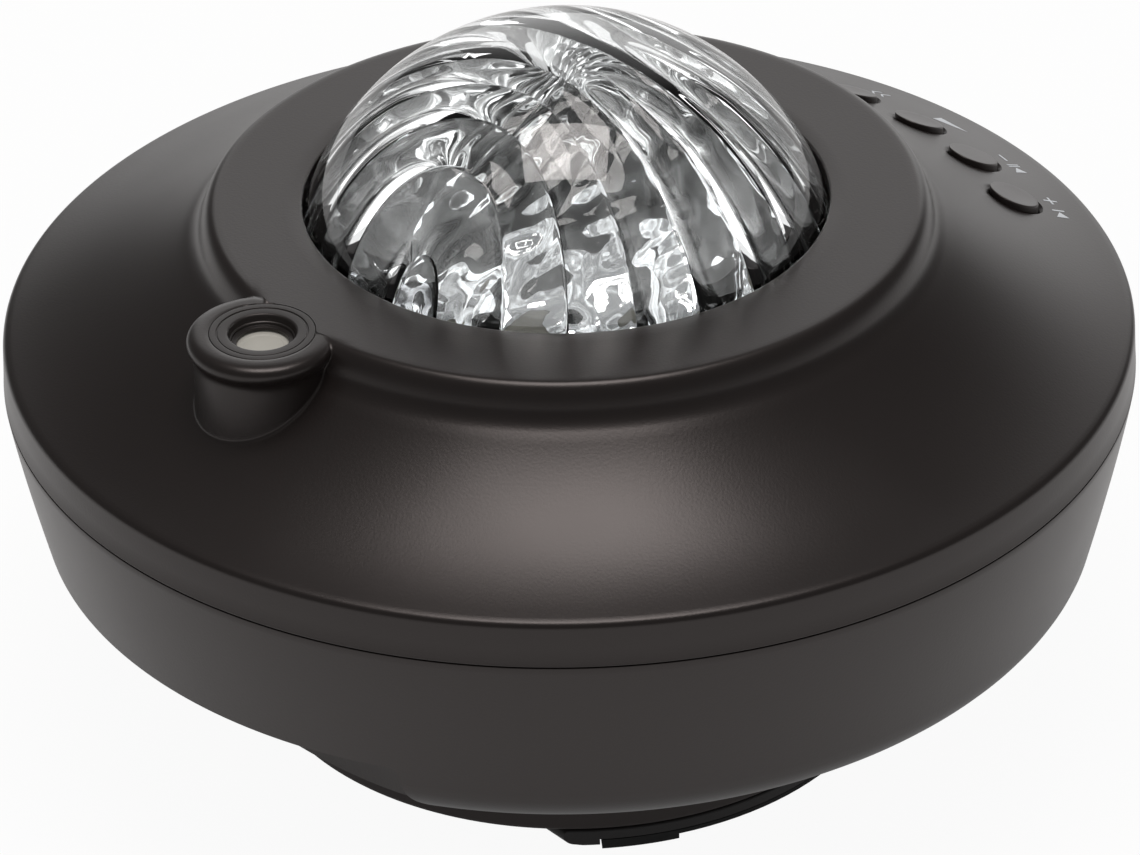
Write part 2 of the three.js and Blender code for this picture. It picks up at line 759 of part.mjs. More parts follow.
function kickstand() {
  const band = turnedRing([
    [legInner, legBottom - overrun], [legOuter, legBottom - overrun],
    [legOuter, legTop + overrun], [legInner, legTop + overrun],
  ], fineSides);
  const top = hingeHeight + hingeBarrel - gap / 3;
  const profile = [[legOuter, legBottom], [legOuter, legTop], [hingeY + hingeBarrel, top]];
  const eyeSteps = 6;
  for (let i = 0; i <= eyeSteps; i += 1) {
    const [y, z] = onCircle(hingeBarrel, eyeFirstAngle + i * eyeSweep / eyeSteps);
    profile.push([hingeY + y, hingeHeight + z]);
  }
  profile.push([hingeY + hingeTaper, legBottom]);
  const side = prismAlongX(profile, -legOuter - overrun, legOuter + overrun);
  let leg = band.intersect(side);
  const clearX = hingeLugX + gap;
  const clearY = hingeY + lugHalfDepth + gap;
  leg = cut(leg, block(-clearX, clearX, -legOuter, clearY, 0, baseBottom));
  for (const sign of [-1, 1]) {
    const ends = [sign * (hingeLugX - lugWidth), sign * (hingeLugX + 2 * hingeBarrel)];
    const [left, right] = [Math.min(...ends), Math.max(...ends)];
    leg = join(leg, rodAlongX(hingePin, left, right, postSides, hingeY, hingeHeight));
  }
  const groove = arcBand(
    padInner - gap, legOuter + overrun, padStart() - padSlack(), 180 - padStart() + padSlack(),
    legBottom - overrun, padTop + gap, 28,
  );
  return cut(leg, groove);
}

function padSlack() {
  return gap / legOuter * 180 / Math.PI;
}

function padStart() {
  return padFirstAngle - padSpan / 2;
}

function padAngles() {
  const step = (180 - 2 * padFirstAngle) / (padCount - 1);
  return Array.from({ length: padCount }, (_, index) => padFirstAngle + index * step);
}

// Rubber feet on one thin strip, let into the leg's underside.
function kickstandPads() {
  const strip = arcBand(padInner, legOuter - gap, padStart(), 180 - padStart(), legBottom, padTop, 28);
  return join(strip, ...padAngles().map((angle) => arcBand(
    padInner, legOuter, angle - padSpan / 2, angle + padSpan / 2, 0, padTop, 4,
  )));
}

// Speaker

function speakerBasket() {
  const low = speakerBottom;
  const flangeTop = low + speakerFlange;
  const outer = [[coneEdgeRadius + gap, low], [speakerRadius, low], [speakerRadius, flangeTop]];
  outer.push([coneEdgeRadius + basketWall + gap, flangeTop], [basketThroat, basketTop]);
  outer.push([coneThroatRadius + gap, basketTop]);
  const ceiling = basketTop - basketWall;
  const inner = [[coneThroatRadius + gap, ceiling], [basketThroat - basketWall, ceiling]];
  inner.push([coneEdgeRadius + gap, flangeTop + gap]);
  let basket = turnedRing([...outer, ...inner], mediumSides);
  for (const angle of quarterAngles(0)) {
    const window = block(
      basketThroat + basketWall, speakerRadius + overrun, -basketWindow / 2, basketWindow / 2,
      flangeTop + gap, ceiling,
    );
    basket = cut(basket, window.rotate([0, 0, angle]));
  }
  for (const angle of speakerScrewAngles) {
    const [x, y] = onCircle(speakerScrewCircle, angle);
    basket = cut(basket, rod(smallHole, low - overrun, flangeTop + overrun, screwSides, x, y));
  }
  return basket;
}

function speakerCone() {
  const low = speakerBottom + gap;
  const high = low + coneHeight;
  return turned([
    [0, high], [coneThroatRadius, high - coneWall / 2], [coneEdgeRadius - 3 * coneWall, low],
    [coneEdgeRadius, low], [coneEdgeRadius, low + coneWall], [coneEdgeRadius - 2 * coneWall, low + coneWall],
    [coneThroatRadius, high + coneWall], [0, high + coneWall],
  ], mediumSides);
}

function speakerMagnet() {
  return turned([
    [0, magnetBottom], [magnetRadius, magnetBottom], [magnetRadius, magnetTop - speakerFlange],
    [magnetRadius - basketWall, magnetTop], [0, magnetTop],
  ], coarseSides);
}

function speakerScrews() {
  const seat = speakerBottom + speakerFlange + gap;
  const length = speakerFlange + gap + baseFloor / 2;
  return speakerScrewAngles.map((angle) => {
    const [x, y] = onCircle(speakerScrewCircle, angle);
    return screw(x, y, seat, 1, length, smallHead, smallHeadHeight, smallShank);
  });
}

function speakerScrewHoles(base) {
  return cut(base, ...speakerScrewAngles.map((angle) => {
    const [x, y] = onCircle(speakerScrewCircle, angle);
    return rod(smallHole, baseBottom + baseFloor / 4, baseInside + overrun, screwSides, x, y);
  }));
}

// Dome and clamp ring

// Points on a sphere round the dome's middle, from a height up to its crown.
function crownOutline(radius, fromHeight, steps) {
  const lift = Math.asin((fromHeight - domeCentreHeight) / radius);
  const points = [];
  for (let i = 0; i < steps; i += 1) {
    const angle = lift + (Math.PI / 2 - lift) * i / steps;
    points.push([radius * Math.cos(angle), domeCentreHeight + radius * Math.sin(angle)]);
  }
  return [...points, [0, domeCentreHeight + radius]];
}

function dome() {
  const flangeBottom = domeFlangeTop - domeFlangeThickness;
  const inside = crownOutline(domeRadius - domeWall, flangeBottom, 6);
  const outside = crownOutline(domeRadius, domeFlangeTop, 6);
  return turned([
    ...inside.reverse(), [domeFlangeRadius, flangeBottom], [domeFlangeRadius, domeFlangeTop], ...outside,
  ], fineSides);
}

function domeRetainer() {
  const top = domeFlangeTop - domeFlangeThickness - gap;
  const bottom = top - retainerThickness;
  let ring = tube(retainerInner, retainerOuter, bottom, top, fineSides);
  for (const angle of retainerAngles) {
    const [x, y] = onCircle(retainerPostCircle, angle);
    const ear = rod(retainerEarRadius, bottom, top - gap, postSides, x, y);
    const bridge = block(
      retainerOuter - wall, retainerPostCircle, -retainerEarRadius, retainerEarRadius, bottom, top - gap,
    );
    ring = join(ring, ear, bridge.rotate([0, 0, angle]));
  }
  return cut(ring, ...retainerAngles.map((angle) => {
    const [x, y] = onCircle(retainerPostCircle, angle);
    return rod(smallHole, bottom - overrun, top + overrun, screwSides, x, y);
  }));
}

function retainerScrews() {
  const bottom = domeFlangeTop - domeFlangeThickness - gap - retainerThickness;
  return retainerAngles.map((angle) => {
    const [x, y] = onCircle(retainerPostCircle, angle);
    const length = retainerThickness + 2 * gap + wall;
    return screw(x, y, bottom - gap, -1, length, smallHead, smallHeadHeight, smallShank);
  });
}

// Turning lens, its cup and its drive

// A pleated cap: the pleats swell between skirt and crown, and swirl as they climb.
function lensPoint(turn, rise, inset, lift) {
  const angle = lift + (Math.PI / 2 - lift) * rise;
  const swell = lensPleat * 4 * rise * (1 - rise) * Math.abs(Math.cos(lensPleatCount * turn / 2));
  const radius = lensRadius - inset + swell;
  const flat = radius * Math.cos(angle);
  const swirl = turn + lensTwist * rise;
  return [flat * Math.cos(swirl), flat * Math.sin(swirl), domeCentreHeight + radius * Math.sin(angle)];
}

function lensCap() {
  const columns = lensPleatCount * 2;
  const rows = 5;
  const lift = Math.asin((skirtTop - domeCentreHeight) / lensRadius);
  const place = [];
  const faces = [];
  const skin = rows * columns + 1;
  for (const inset of [0, lensWall]) {
    for (let row = 0; row < rows; row += 1) {
      for (let column = 0; column < columns; column += 1) {
        place.push(...lensPoint(2 * Math.PI * column / columns, row / rows, inset, lift));
      }
    }
    place.push(0, 0, domeCentreHeight + lensRadius - inset);
  }
  for (let column = 0; column < columns; column += 1) {
    const next = (column + 1) % columns;
    for (let row = 0; row + 1 < rows; row += 1) {
      const [a, b] = [row * columns + column, row * columns + next];
      const [c, d] = [a + columns, b + columns];
      faces.push(a, b, d, a, d, c);
      faces.push(a + skin, d + skin, b + skin, a + skin, c + skin, d + skin);
    }
    const [a, b] = [(rows - 1) * columns + column, (rows - 1) * columns + next];
    faces.push(a, b, skin - 1, a + skin, 2 * skin - 1, b + skin);
    faces.push(column, column + skin, next, next, column + skin, next + skin);
  }
  const geometry = new THREE.BufferGeometry();
  geometry.setAttribute('position', new THREE.Float32BufferAttribute(place, 3));
  geometry.setIndex(faces);
  return solid(geometry);
}

function rippleLens() {
  const skirt = prism(gearOutline(lensTeeth, 0), skirtBottom, skirtTop);
  const shelf = skirtTop - lensWall;
  const seat = rod(lensRadius - lensWall / 2, shelf, skirtTop + lensWall / 3, fineSides);
  const bore = rod(lensSkirtInner, skirtBottom - overrun, shelf, fineSides);
  const mouth = rod(lensRadius - 2 * lensWall, skirtBottom, skirtTop + overrun, fineSides);
  return join(lensCap(), cut(join(skirt, seat), bore, mouth));
}

function ripplePinion() {
  const phase = Math.PI / ripplePinionTeeth;
  const gear = prism(gearOutline(ripplePinionTeeth, phase), skirtBottom, skirtTop);
  const shaft = rod(shaftRadius, deckHeight - gap, skirtBottom + overrun, postSides);
  return join(gear, shaft).translate([rippleMotorX, 0, 0]);
}

function rippleMotor() {
  const top = deckHeight - 2 * gap;
  const bottom = top - rippleMotorLength;
  const can = turned([
    [0, bottom], [rippleMotorRadius - wall, bottom], [rippleMotorRadius, bottom + wall],
    [rippleMotorRadius, top], [0, top],
  ], coarseSides);
  return can.translate([rippleMotorX, 0, 0]);
}

function gearDeck() {
  let deck = tube(deckInner, deckOuter, deckHeight, deckTop, fineSides);
  const collarTop = skirtTop - lensWall - gap;
  const collar = tube(collarInner, collarOuter, deckTop - wall / 2, collarTop, fineSides);
  deck = join(deck, collar);
  for (const angle of stackAngles) {
    const [x, y] = onCircle(stackCircle, angle);
    deck = join(deck, rod(deckLegRadius, chassisTop + gap, deckHeight + wall / 2, postSides, x, y));
    deck = cut(deck, rod(screwHole, chassisTop, deckTop + overrun, screwSides, x, y));
  }
  const shaftHole = shaftRadius + 2 * gap;
  return cut(deck, rod(shaftHole, deckHeight - overrun, deckTop + overrun, coarseSides, rippleMotorX, 0));
}

// Long screws that clamp the deck's legs and the chassis onto the bowl's posts.
function stackScrews() {
  return stackAngles.map((angle) => {
    const [x, y] = onCircle(stackCircle, angle);
    const seat = deckTop + gap;
    const length = seat - chassisBottom + stackScrewDepth;
    return screw(x, y, seat, 1, length, screwHead, screwHeadHeight, screwShank);
  });
}

function reflectorCup() {
  const rimBottom = deckTop + gap;
  const rimTop = rimBottom + cupRimThickness;
  const bottom = ledBoardTop + gap;
  const bendShare = 0.62;
  const bend = [cupMouthRadius * bendShare, bottom];
  const inner = curvePoints([[cupThroatRadius, bottom], bend, [cupMouthRadius - cupWall, rimTop]], 5);
  const outer = offsetOutline(inner, cupWall).filter(([r, z]) => z < rimBottom && z > bottom);
  const profile = [...inner, [cupRimRadius, rimTop], [cupRimRadius, rimBottom]];
  profile.push([cupMouthRadius, rimBottom], ...outer.reverse(), [cupThroatRadius + cupWall, bottom]);
  return turnedRing(profile, mediumSides);
}

// Lamps

function heatSink() {
  const baseLow = heatSinkTop - heatSinkBase;
  const plate = rod(heatSinkRadius, baseLow, heatSinkTop, coarseSides);
  const fins = [];
  const pitch = 2 * heatSinkRadius / heatSinkFinCount;
  for (let i = 0; i < heatSinkFinCount; i += 1) {
    const x = (i - (heatSinkFinCount - 1) / 2) * pitch;
    const half = Math.sqrt(heatSinkRadius ** 2 - (Math.abs(x) + heatSinkFinThickness) ** 2);
    const sides = [x - heatSinkFinThickness / 2, x + heatSinkFinThickness / 2];
    fins.push(block(...sides, -half, half, heatSinkBottom, baseLow + heatSinkBase / 2));
  }
  return join(plate, ...fins);
}

// The lamp board with its four lamps soldered on.
function ledBoard() {
  const plate = rod(ledBoardRadius, ledBoardBottom, ledBoardTop, coarseSides);
  const low = ledBoardTop - solder;
  return join(plate, ...quarterAngles(45).map((angle) => {
    const [x, y] = onCircle(ledSpread, angle);
    const half = ledSide / 2;
    const body = block(x - half, x + half, y - half, y + half, low, ledBoardTop + ledHeight);
    const lamp = new THREE.SphereGeometry(ledDomeRadius, 10, 6).translate(x, y, ledBoardTop + ledHeight);
    return join(body, solid(lamp));
  }));
}

// Laser and star wheel

function laserHolder() {
  const z = holderBottom;
  const collarTop = holderTop + holderCollarRise;
  const boreTop = holderTop - wall;
  let holder = turnedRing([
    [holderBore, z], [holderFlangeRadius, z], [holderFlangeRadius, z + holderFlangeThickness],
    [holderRadius, z + holderFlangeThickness], [holderRadius, holderTop], [holderCollarRadius, holderTop],
    [holderCollarRadius, collarTop], [holderBeam, collarTop], [holderBeam, boreTop], [holderBore, boreTop],
  ], mediumSides).translate([0, -bossDistance, 0]);
  const low = z + clampRise;
  const clampOuter = gratingMotorRadius + gap + clampWall;
  const ringAt = [gratingMotorX, gratingMotorY];
  const ring = rod(clampOuter, low, low + clampThickness, coarseSides, ...ringAt);
  const toMotor = new THREE.Vector2(gratingMotorX, gratingMotorY + bossDistance);
  const arm = block(0, toMotor.length(), -clampWall, clampWall, low, low + clampThickness)
    .rotate([0, 0, gratingMotorAngle]).translate([0, -bossDistance, 0]);
  holder = join(holder, ring, arm);
  const motorHole = rod(gratingMotorRadius + gap, z, low + clampThickness + overrun, coarseSides, ...ringAt);
  return cut(holder, motorHole, bossRod(holderBore, z - overrun, boreTop, mediumSides));
}

function laserModule() {
  const low = chassisTop + gap;
  const high = low + laserLength;
  return turned([
    [0, low], [laserRadius, low], [laserRadius, high - laserNoseLength],
    [laserRadius - laserNoseLength / 2, high], [laserNoseRadius, high],
    [laserNoseRadius, high + laserNoseLength], [0, high + laserNoseLength],
  ], coarseSides).translate([0, -bossDistance, 0]);
}

function gratingWheel() {
  const gear = prism(gearOutline(gratingTeeth, 0), gratingBottom, gratingTop);
  const filmTop = gratingTop + gap + gratingFilmThickness;
  const film = rod(gratingFilmRadius, gratingTop - overrun, filmTop, coarseSides);
  const bore = rod(gratingBore, gratingBottom - overrun, gratingTop + gap, coarseSides);
  return cut(join(gear, film), bore).translate([0, -bossDistance, 0]);
}

function gratingPinion() {
  // Turned so that a gap between its teeth faces the wheel's nearest tooth.
  const wheelStep = 360 / gratingTeeth;
  const pinionStep = 360 / gratingPinionTeeth;
  const wheelOffset = gratingMotorAngle - Math.round(gratingMotorAngle / wheelStep) * wheelStep;
  const facing = gratingMotorAngle + 180;
  const phase = facing + pinionStep / 2 + wheelOffset * gratingTeeth / gratingPinionTeeth;
  const gear = prism(gearOutline(gratingPinionTeeth, radians(phase)), gratingBottom, gratingTop);
  const shaft = rod(shaftRadius, gratingMotorTop() + gap, gratingBottom + overrun, postSides);
  return join(gear, shaft).translate([gratingMotorX, gratingMotorY, 0]);
}

function gratingMotorTop() {
  return holderBottom + gratingMotorLength;
}

function gratingMotor() {
  const bottom = holderBottom;
  const top = gratingMotorTop();
  return turned([
    [0, bottom], [gratingMotorRadius, bottom], [gratingMotorRadius, top - wall / 2],
    [gratingMotorRadius - wall / 2, top], [0, top],
  ], coarseSides).translate([gratingMotorX, gratingMotorY, 0]);
}

function apertureBezel() {
  const bottom = ringTop - bezelDepth;
  const lensTop = ringTop - apertureLensDepth;
  const seatRadius = apertureLensRadius + gap;
  const lipBottom = lensTop + gap;
  const lipTop = lipBottom + apertureLip;
  return turnedRing([
    [bezelHole + bezelChamfer, ringTop], [bezelRadius, ringTop], [bezelRadius, bottom], [seatRadius, bottom],
    [seatRadius, lipBottom], [apertureRadius, lipBottom], [apertureRadius, lipTop], [bezelHole, lipTop],
    [bezelHole, ringTop - bezelChamfer],
  ], mediumSides).translate([0, -bossDistance, 0]);
}

// A frosted plug that stands on the pocket's floor, under the bezel's lip.
function apertureLens() {
  return bossRod(apertureLensRadius, ringTop - bezelDepth, ringTop - apertureLensDepth, coarseSides);
}

// Keys

function button(angle) {
  const [x, y] = onCircle(buttonCircle, angle);
  const low = buttonFlangeHeight;
  const stemTop = flareTopAt(buttonCircle - buttonRadius) + 2 * buttonProud;
  const stem = rod(buttonRadius, low, stemTop, coarseSides, x, y);
  const flange = rod(buttonFlangeRadius, low, low + buttonFlangeThickness, coarseSides, x, y);
  // The top lies square to the shoulder's slope, a little proud of it.
  const near = buttonCircle - buttonRadius;
  const far = buttonCircle + buttonRadius;
  const slope = (flareTopAt(near) - flareTopAt(far)) / (far - near);
  const rise = flareTopAt(buttonCircle) + buttonProud;
  const inner = near - overrun;
  const outer = far + overrun;
  const over = ringTop;
  const outline = [
    [inner, rise + slope * (buttonCircle - inner)], [outer, rise - slope * (outer - buttonCircle)],
    [outer, over], [inner, over],
  ];
  const above = prismAlongX(outline, -buttonFlangeRadius, buttonFlangeRadius).rotate([0, 0, angle - 90]);
  return join(cut(stem, above), flange);
}

// The key board with its switches soldered on.
function buttonBoard() {
  const from = 90 - buttonBoardHalfAngle;
  const to = 90 + buttonBoardHalfAngle;
  const board = arcBand(buttonBoardInner, buttonBoardOuter, from, to, buttonBoardBottom, buttonBoardTop, 12);
  const half = switchSide / 2;
  const low = buttonBoardTop - solder;
  const switches = buttonAngles.map((angle) => {
    const top = buttonBoardTop + switchHeight;
    const body = block(buttonCircle - half, buttonCircle + half, -half, half, low, top);
    const plunger = rod(plungerRadius, low, top + plungerHeight, postSides, buttonCircle, 0);
    return join(body, plunger).rotate([0, 0, angle]);
  });
  return cut(join(board, ...switches), ...buttonBoardPostAngles.map((angle) => {
    const [x, y] = onCircle(buttonCircle, angle);
    return rod(smallHole, buttonBoardBottom - overrun, buttonBoardTop + overrun, screwSides, x, y);
  }));
}

function buttonBoardScrews() {
  return buttonBoardPostAngles.map((angle) => {
    const [x, y] = onCircle(buttonCircle, angle);
    const length = boardThickness + 2 * gap + wall;
    return screw(x, y, buttonBoardBottom - gap, -1, length, smallHead, smallHeadHeight, smallShank);
  });
}

// Chassis and boards

function chassis() {
  let plate = rod(chassisRadius, chassisBottom, chassisTop, fineSides);
  plate = cut(plate, rod(chassisVent, chassisBottom - overrun, chassisTop + overrun, coarseSides));
  for (const angle of stackAngles) {
    const [x, y] = onCircle(stackCircle, angle);
    plate = cut(plate, rod(screwHole, chassisBottom - overrun, chassisTop + overrun, screwSides, x, y));
  }
  for (const [x, y] of wireHoles) {
    const hole = rod(wireHoleRadius, chassisBottom - overrun, chassisTop + overrun, coarseSides, x, y);
    plate = cut(plate, hole);
  }
  const postLow = chassisBottom + chassisThickness / 2;
  const postHigh = mainBoardBottom - gap;
  for (const [x, y] of mainBoardCorners) {
    plate = join(plate, rod(boardPostRadius, postLow, postHigh, postSides, x, y));
    plate = cut(plate, rod(smallHole, chassisTop, mainBoardBottom, screwSides, x, y));
  }
  // The board's other two corners drop over pegs.
  for (const [x, y] of mainBoardPegs) {
    plate = join(plate, rod(boardPostRadius, postLow, postHigh, postSides, x, y));
    plate = join(plate, rod(smallShank, chassisTop, mainBoardTop + boardThickness, screwSides, x, y));
  }
  return plate;
}

function mainBoard() {
  const board = block(
    -mainBoardHalfWidth, mainBoardHalfWidth, mainBoardNear, mainBoardFar, mainBoardBottom, mainBoardTop,
  );
  const populated = join(board, ...boardParts());
  return cut(populated, ...[...mainBoardCorners, ...mainBoardPegs].map(([x, y]) => (
    rod(smallHole, mainBoardBottom - overrun, mainBoardTop + overrun, screwSides, x, y)
  )));
}

function mainBoardScrews() {
  return mainBoardCorners.map(([x, y]) => {
    const length = boardThickness + 2 * gap + boardPostRise;
    return screw(x, y, mainBoardTop + gap, 1, length, smallHead, smallHeadHeight, smallShank);
  });
}

function boardParts() {
  const low = mainBoardTop - solder;
  const middle = (mainBoardNear + mainBoardFar) / 2;
  const chip = mainBoardHalfWidth / 5;
  const capRadius = mainBoardHalfWidth / 8;
  const capTop = mainBoardTop + 6 * boardThickness;
  const plugHalf = boardEdge / 2;
  const parts = [
    block(-chip, chip, middle - chip, middle + chip, low, mainBoardTop + boardThickness),
    block(2 * chip, 3 * chip, middle - chip, middle, low, mainBoardTop + boardThickness),
    rod(capRadius, low, capTop, postSides, -2 * chip, middle + chip),
    rod(capRadius, low, capTop, postSides, -2 * chip, middle - chip),
  ];
  for (const [x, y] of Object.values(wirePlugs)) {
    parts.push(block(x - 2 * plugHalf, x + 2 * plugHalf, y - plugHalf, y + plugHalf, low, plugTop));
  }
  return parts;
}

// Sockets

function socketBoard() {
  const board = block(
    -socketBoardHalfWidth, socketBoardHalfWidth, socketBoardFrontY, socketBoardBackY,
    socketBoardBottom, socketBoardTop,
  );
  const [near, far] = [socketBoardFrontY - overrun, socketBoardBackY + overrun];
  return cut(board, ...[-socketPostX, socketPostX].map((x) => (
    rodAlongY(smallHole, near, far, screwSides, x, socketPostHeight)
  )));
}

function socketScrews() {
  const seat = socketBoardBackY + gap;
  return [-socketPostX, socketPostX].map((x) => {
    const length = boardThickness + 2 * gap + 2 * wall;
    const body = screw(0, 0, 0, 1, length, smallHead, smallHeadHeight, smallShank);
    return body.rotate([-90, 0, 0]).translate([x, seat, socketPostHeight]);
  });
}

function powerSocket() {
  const half = powerSocketBody / 2;
  const innerY = recessWallY + gap;
  const body = block(
    powerSocketX - half, powerSocketX + half, innerY, socketBackY, socketHeight - powerSocketRadius,
    socketHeight + half,
  );
  const centre = [powerSocketX, socketHeight];
  const nose = rodAlongY(powerSocketRadius, socketFrontY + gap, innerY + overrun, coarseSides, ...centre);
  const boreEnd = socketBackY - wall;
  const bore = rodAlongY(powerSocketBore, socketFrontY - overrun, boreEnd, coarseSides, ...centre);
  const pin = rodAlongY(
    powerSocketPin, socketFrontY + overrun, socketBackY - wall / 2, screwSides, ...centre,
  );
  return join(cut(join(body, nose), bore), pin);
}

function usbSocket() {
  const x0 = usbSocketX - usbWidth / 2;
  const x1 = usbSocketX + usbWidth / 2;
  const z0 = socketHeight - usbHeight / 2;
  const z1 = socketHeight + usbHeight / 2;
  const shell = block(x0, x1, socketFrontY, socketBackY, z0, z1);
  const space = block(
    x0 + usbWall, x1 - usbWall, socketFrontY - overrun, socketBackY - usbWall, z0 + usbWall, z1 - usbWall,
  );
  const margin = (1 - usbTongueShare) * usbWidth / 2;
  const tongue = block(
    x0 + margin, x1 - margin, socketFrontY + overrun, socketBackY - usbWall / 2,
    z1 - usbWall - usbTongue - gap, z1 - usbWall - gap,
  );
  return join(cut(shell, space), tongue);
}

// Wires held at both ends

function wire(points) {
  const path = new THREE.CatmullRomCurve3(points.map(([x, y, z]) => new THREE.Vector3(x, y, z)));
  const outline = [];
  for (let i = 0; i < wireSides; i += 1) {
    const [x, y] = onCircle(wireRadius, i * 360 / wireSides);
    outline.push(new THREE.Vector2(x, y));
  }
  const settings = { steps: wireSteps, extrudePath: path, bevelEnabled: false };
  return solid(new THREE.ExtrudeGeometry(new THREE.Shape(outline), settings));
}

function speakerLeads() {
  const [px, py] = wirePlugs.speaker;
  const [hx, hy] = [speakerHoleX, speakerHoleY];
  const start = magnetTop + gap;
  const bend = 2 * wireHoleRadius;
  const side = -magnetRadius / 2;
  return wire([
    [side, 0, start], [side, 0, start + bend], [hx, hy, chassisBottom - bend], [hx, hy, chassisBottom],
    [hx, hy, chassisTop + bend], [(hx + px) / 2, (hy + py) / 2, plugTop + bend / 2],
    [px, py, plugTop + bend / 2], [px, py, plugTop + gap],
  ]);
}

function motorLeads() {
  const [px, py] = wirePlugs.motor;
  const start = deckHeight - 3 * gap - rippleMotorLength;
  const bend = 2 * wireHoleRadius;
  return wire([
    [rippleMotorX, 0, start], [rippleMotorX, 0, start - bend / 3],
    [rippleMotorX - bend, bend, start - bend / 2],
    [(px + rippleMotorX) / 2, (py + bend) / 2, start], [px + bend, py, plugTop + bend / 2],
    [px, py, plugTop + bend / 2], [px, py, plugTop + gap],
  ]);
}

function powerLeads() {
  const [px, py] = wirePlugs.power;
  const [hx, hy] = [powerHoleX, powerHoleY];
  const startY = socketBoardBackY + gap;
  const bend = 2 * wireHoleRadius;
  return wire([
    [usbSocketX, startY, socketPostHeight], [usbSocketX, startY + bend, socketPostHeight],
    [(usbSocketX + hx) / 2, (startY + hy) / 2, socketPostHeight + bend / 2], [hx, hy, chassisBottom - bend],
    [hx, hy, chassisBottom], [hx, hy, chassisTop + bend], [(hx + px) / 2, (hy + py) / 2, plugTop + bend / 2],
    [px, py, plugTop + bend / 2], [px, py, plugTop + gap],
  ]);
}

// Scene graph

function finish(color, roughness, metalness, extra = {}) {
  return new THREE.MeshStandardMaterial({ color, roughness, metalness, ...extra });
}

const shellBlack = [0x2e2a2a, 0.55, 0];
const partBlack = [0x1c1a1a, 0.5, 0];
const clear = [0xeef2f4, 0.05, 0, { transparent: true, opacity: 0.35 }];
const steel = [0xa8a8a6, 0.35, 1];
const boardGreen = [0x1f5a38, 0.5, 0];

const projector = new THREE.Group();

function add(name, body, look) {
  const { vertProperties, triVerts } = body.getMesh();
  const geometry = new THREE.BufferGeometry();
  geometry.setAttribute('position', new THREE.Float32BufferAttribute(vertProperties, 3));
  geometry.setIndex(Array.from(triVerts));
  geometry.computeVertexNormals();
  const mesh = new THREE.Mesh(geometry, finish(...look));
  mesh.name = name;
  projector.add(mesh);
}

function addEach(name, bodies, look) {
  bodies.forEach((body, index) => add(`${name}_${index + 1}`, body, look));
}

add('upper_shell', upperShell(), shellBlack);
add('lower_shell', lowerShell(), shellBlack);
addEach('shell_screw', shellScrews(), steel);
add('base_plate', speakerScrewHoles(basePlate()), shellBlack);
addEach('base_screw', baseScrews(), steel);
add('kickstand', kickstand(), partBlack);
add('kickstand_pads', kickstandPads(), [0x161616, 0.9, 0]);
add('speaker_basket', speakerBasket(), steel);
add('speaker_cone', speakerCone(), [0x202022, 0.8, 0]);
add('speaker_magnet', speakerMagnet(), [0x4a4a4c, 0.5, 0.6]);
addEach('speaker_screw', speakerScrews(), steel);
add('dome', dome(), clear);
add('dome_retainer', domeRetainer(), partBlack);
addEach('retainer_screw', retainerScrews(), steel);
add('ripple_lens', rippleLens(), clear);
add('ripple_pinion', ripplePinion(), [0xe8e6df, 0.5, 0]);
add('ripple_motor', rippleMotor(), steel);
add('gear_deck', gearDeck(), partBlack);
addEach('stack_screw', stackScrews(), steel);
add('reflector_cup', reflectorCup(), [0xe6e6e8, 0.08, 1]);
add('heat_sink', heatSink(), [0xb8babc, 0.4, 1]);
add('led_board', ledBoard(), [0xe9e9e6, 0.5, 0]);
add('laser_holder', laserHolder(), partBlack);
add('laser_module', laserModule(), [0xb08d4a, 0.3, 1]);
add('grating_wheel', gratingWheel(), [0xe8e6df, 0.4, 0]);
add('grating_pinion', gratingPinion(), [0xe8e6df, 0.5, 0]);
add('grating_motor', gratingMotor(), steel);
add('aperture_bezel', apertureBezel(), shellBlack);
add('aperture_lens', apertureLens(), [0xc9c7c0, 0.6, 0]);
addEach('button', buttonAngles.map(button), [0x6b6765, 0.4, 0]);
add('button_board', buttonBoard(), boardGreen);
addEach('button_board_screw', buttonBoardScrews(), steel);
add('chassis', chassis(), partBlack);
add('main_board', mainBoard(), boardGreen);
addEach('main_board_screw', mainBoardScrews(), steel);
add('socket_board', socketBoard(), boardGreen);
addEach('socket_screw', socketScrews(), steel);
add('power_socket', powerSocket(), [0x141414, 0.4, 0]);
add('usb_socket', usbSocket(), steel);
add('speaker_leads', speakerLeads(), [0x8e1f1f, 0.5, 0]);
add('motor_leads', motorLeads(), [0x2b3f8e, 0.5, 0]);
add('power_leads', powerLeads(), [0x8e1f1f, 0.5, 0]);

export default projector;
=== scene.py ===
import math
from functools import partial
import bmesh
import bpy
import numpy as np
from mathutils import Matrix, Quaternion, Vector


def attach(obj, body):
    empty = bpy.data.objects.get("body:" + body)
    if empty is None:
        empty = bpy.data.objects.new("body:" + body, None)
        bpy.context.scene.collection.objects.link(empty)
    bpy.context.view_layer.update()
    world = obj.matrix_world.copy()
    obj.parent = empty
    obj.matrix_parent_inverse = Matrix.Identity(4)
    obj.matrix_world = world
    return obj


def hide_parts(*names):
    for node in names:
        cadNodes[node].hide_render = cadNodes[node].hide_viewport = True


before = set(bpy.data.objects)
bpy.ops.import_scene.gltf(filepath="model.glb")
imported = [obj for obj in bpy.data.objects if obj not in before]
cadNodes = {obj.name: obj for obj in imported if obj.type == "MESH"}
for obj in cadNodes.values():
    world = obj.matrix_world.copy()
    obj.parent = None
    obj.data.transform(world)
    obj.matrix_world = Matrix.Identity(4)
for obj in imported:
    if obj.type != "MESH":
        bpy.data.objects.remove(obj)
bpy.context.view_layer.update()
mm = 0.001  # sizes below are in millimetres, Blender's are in metres

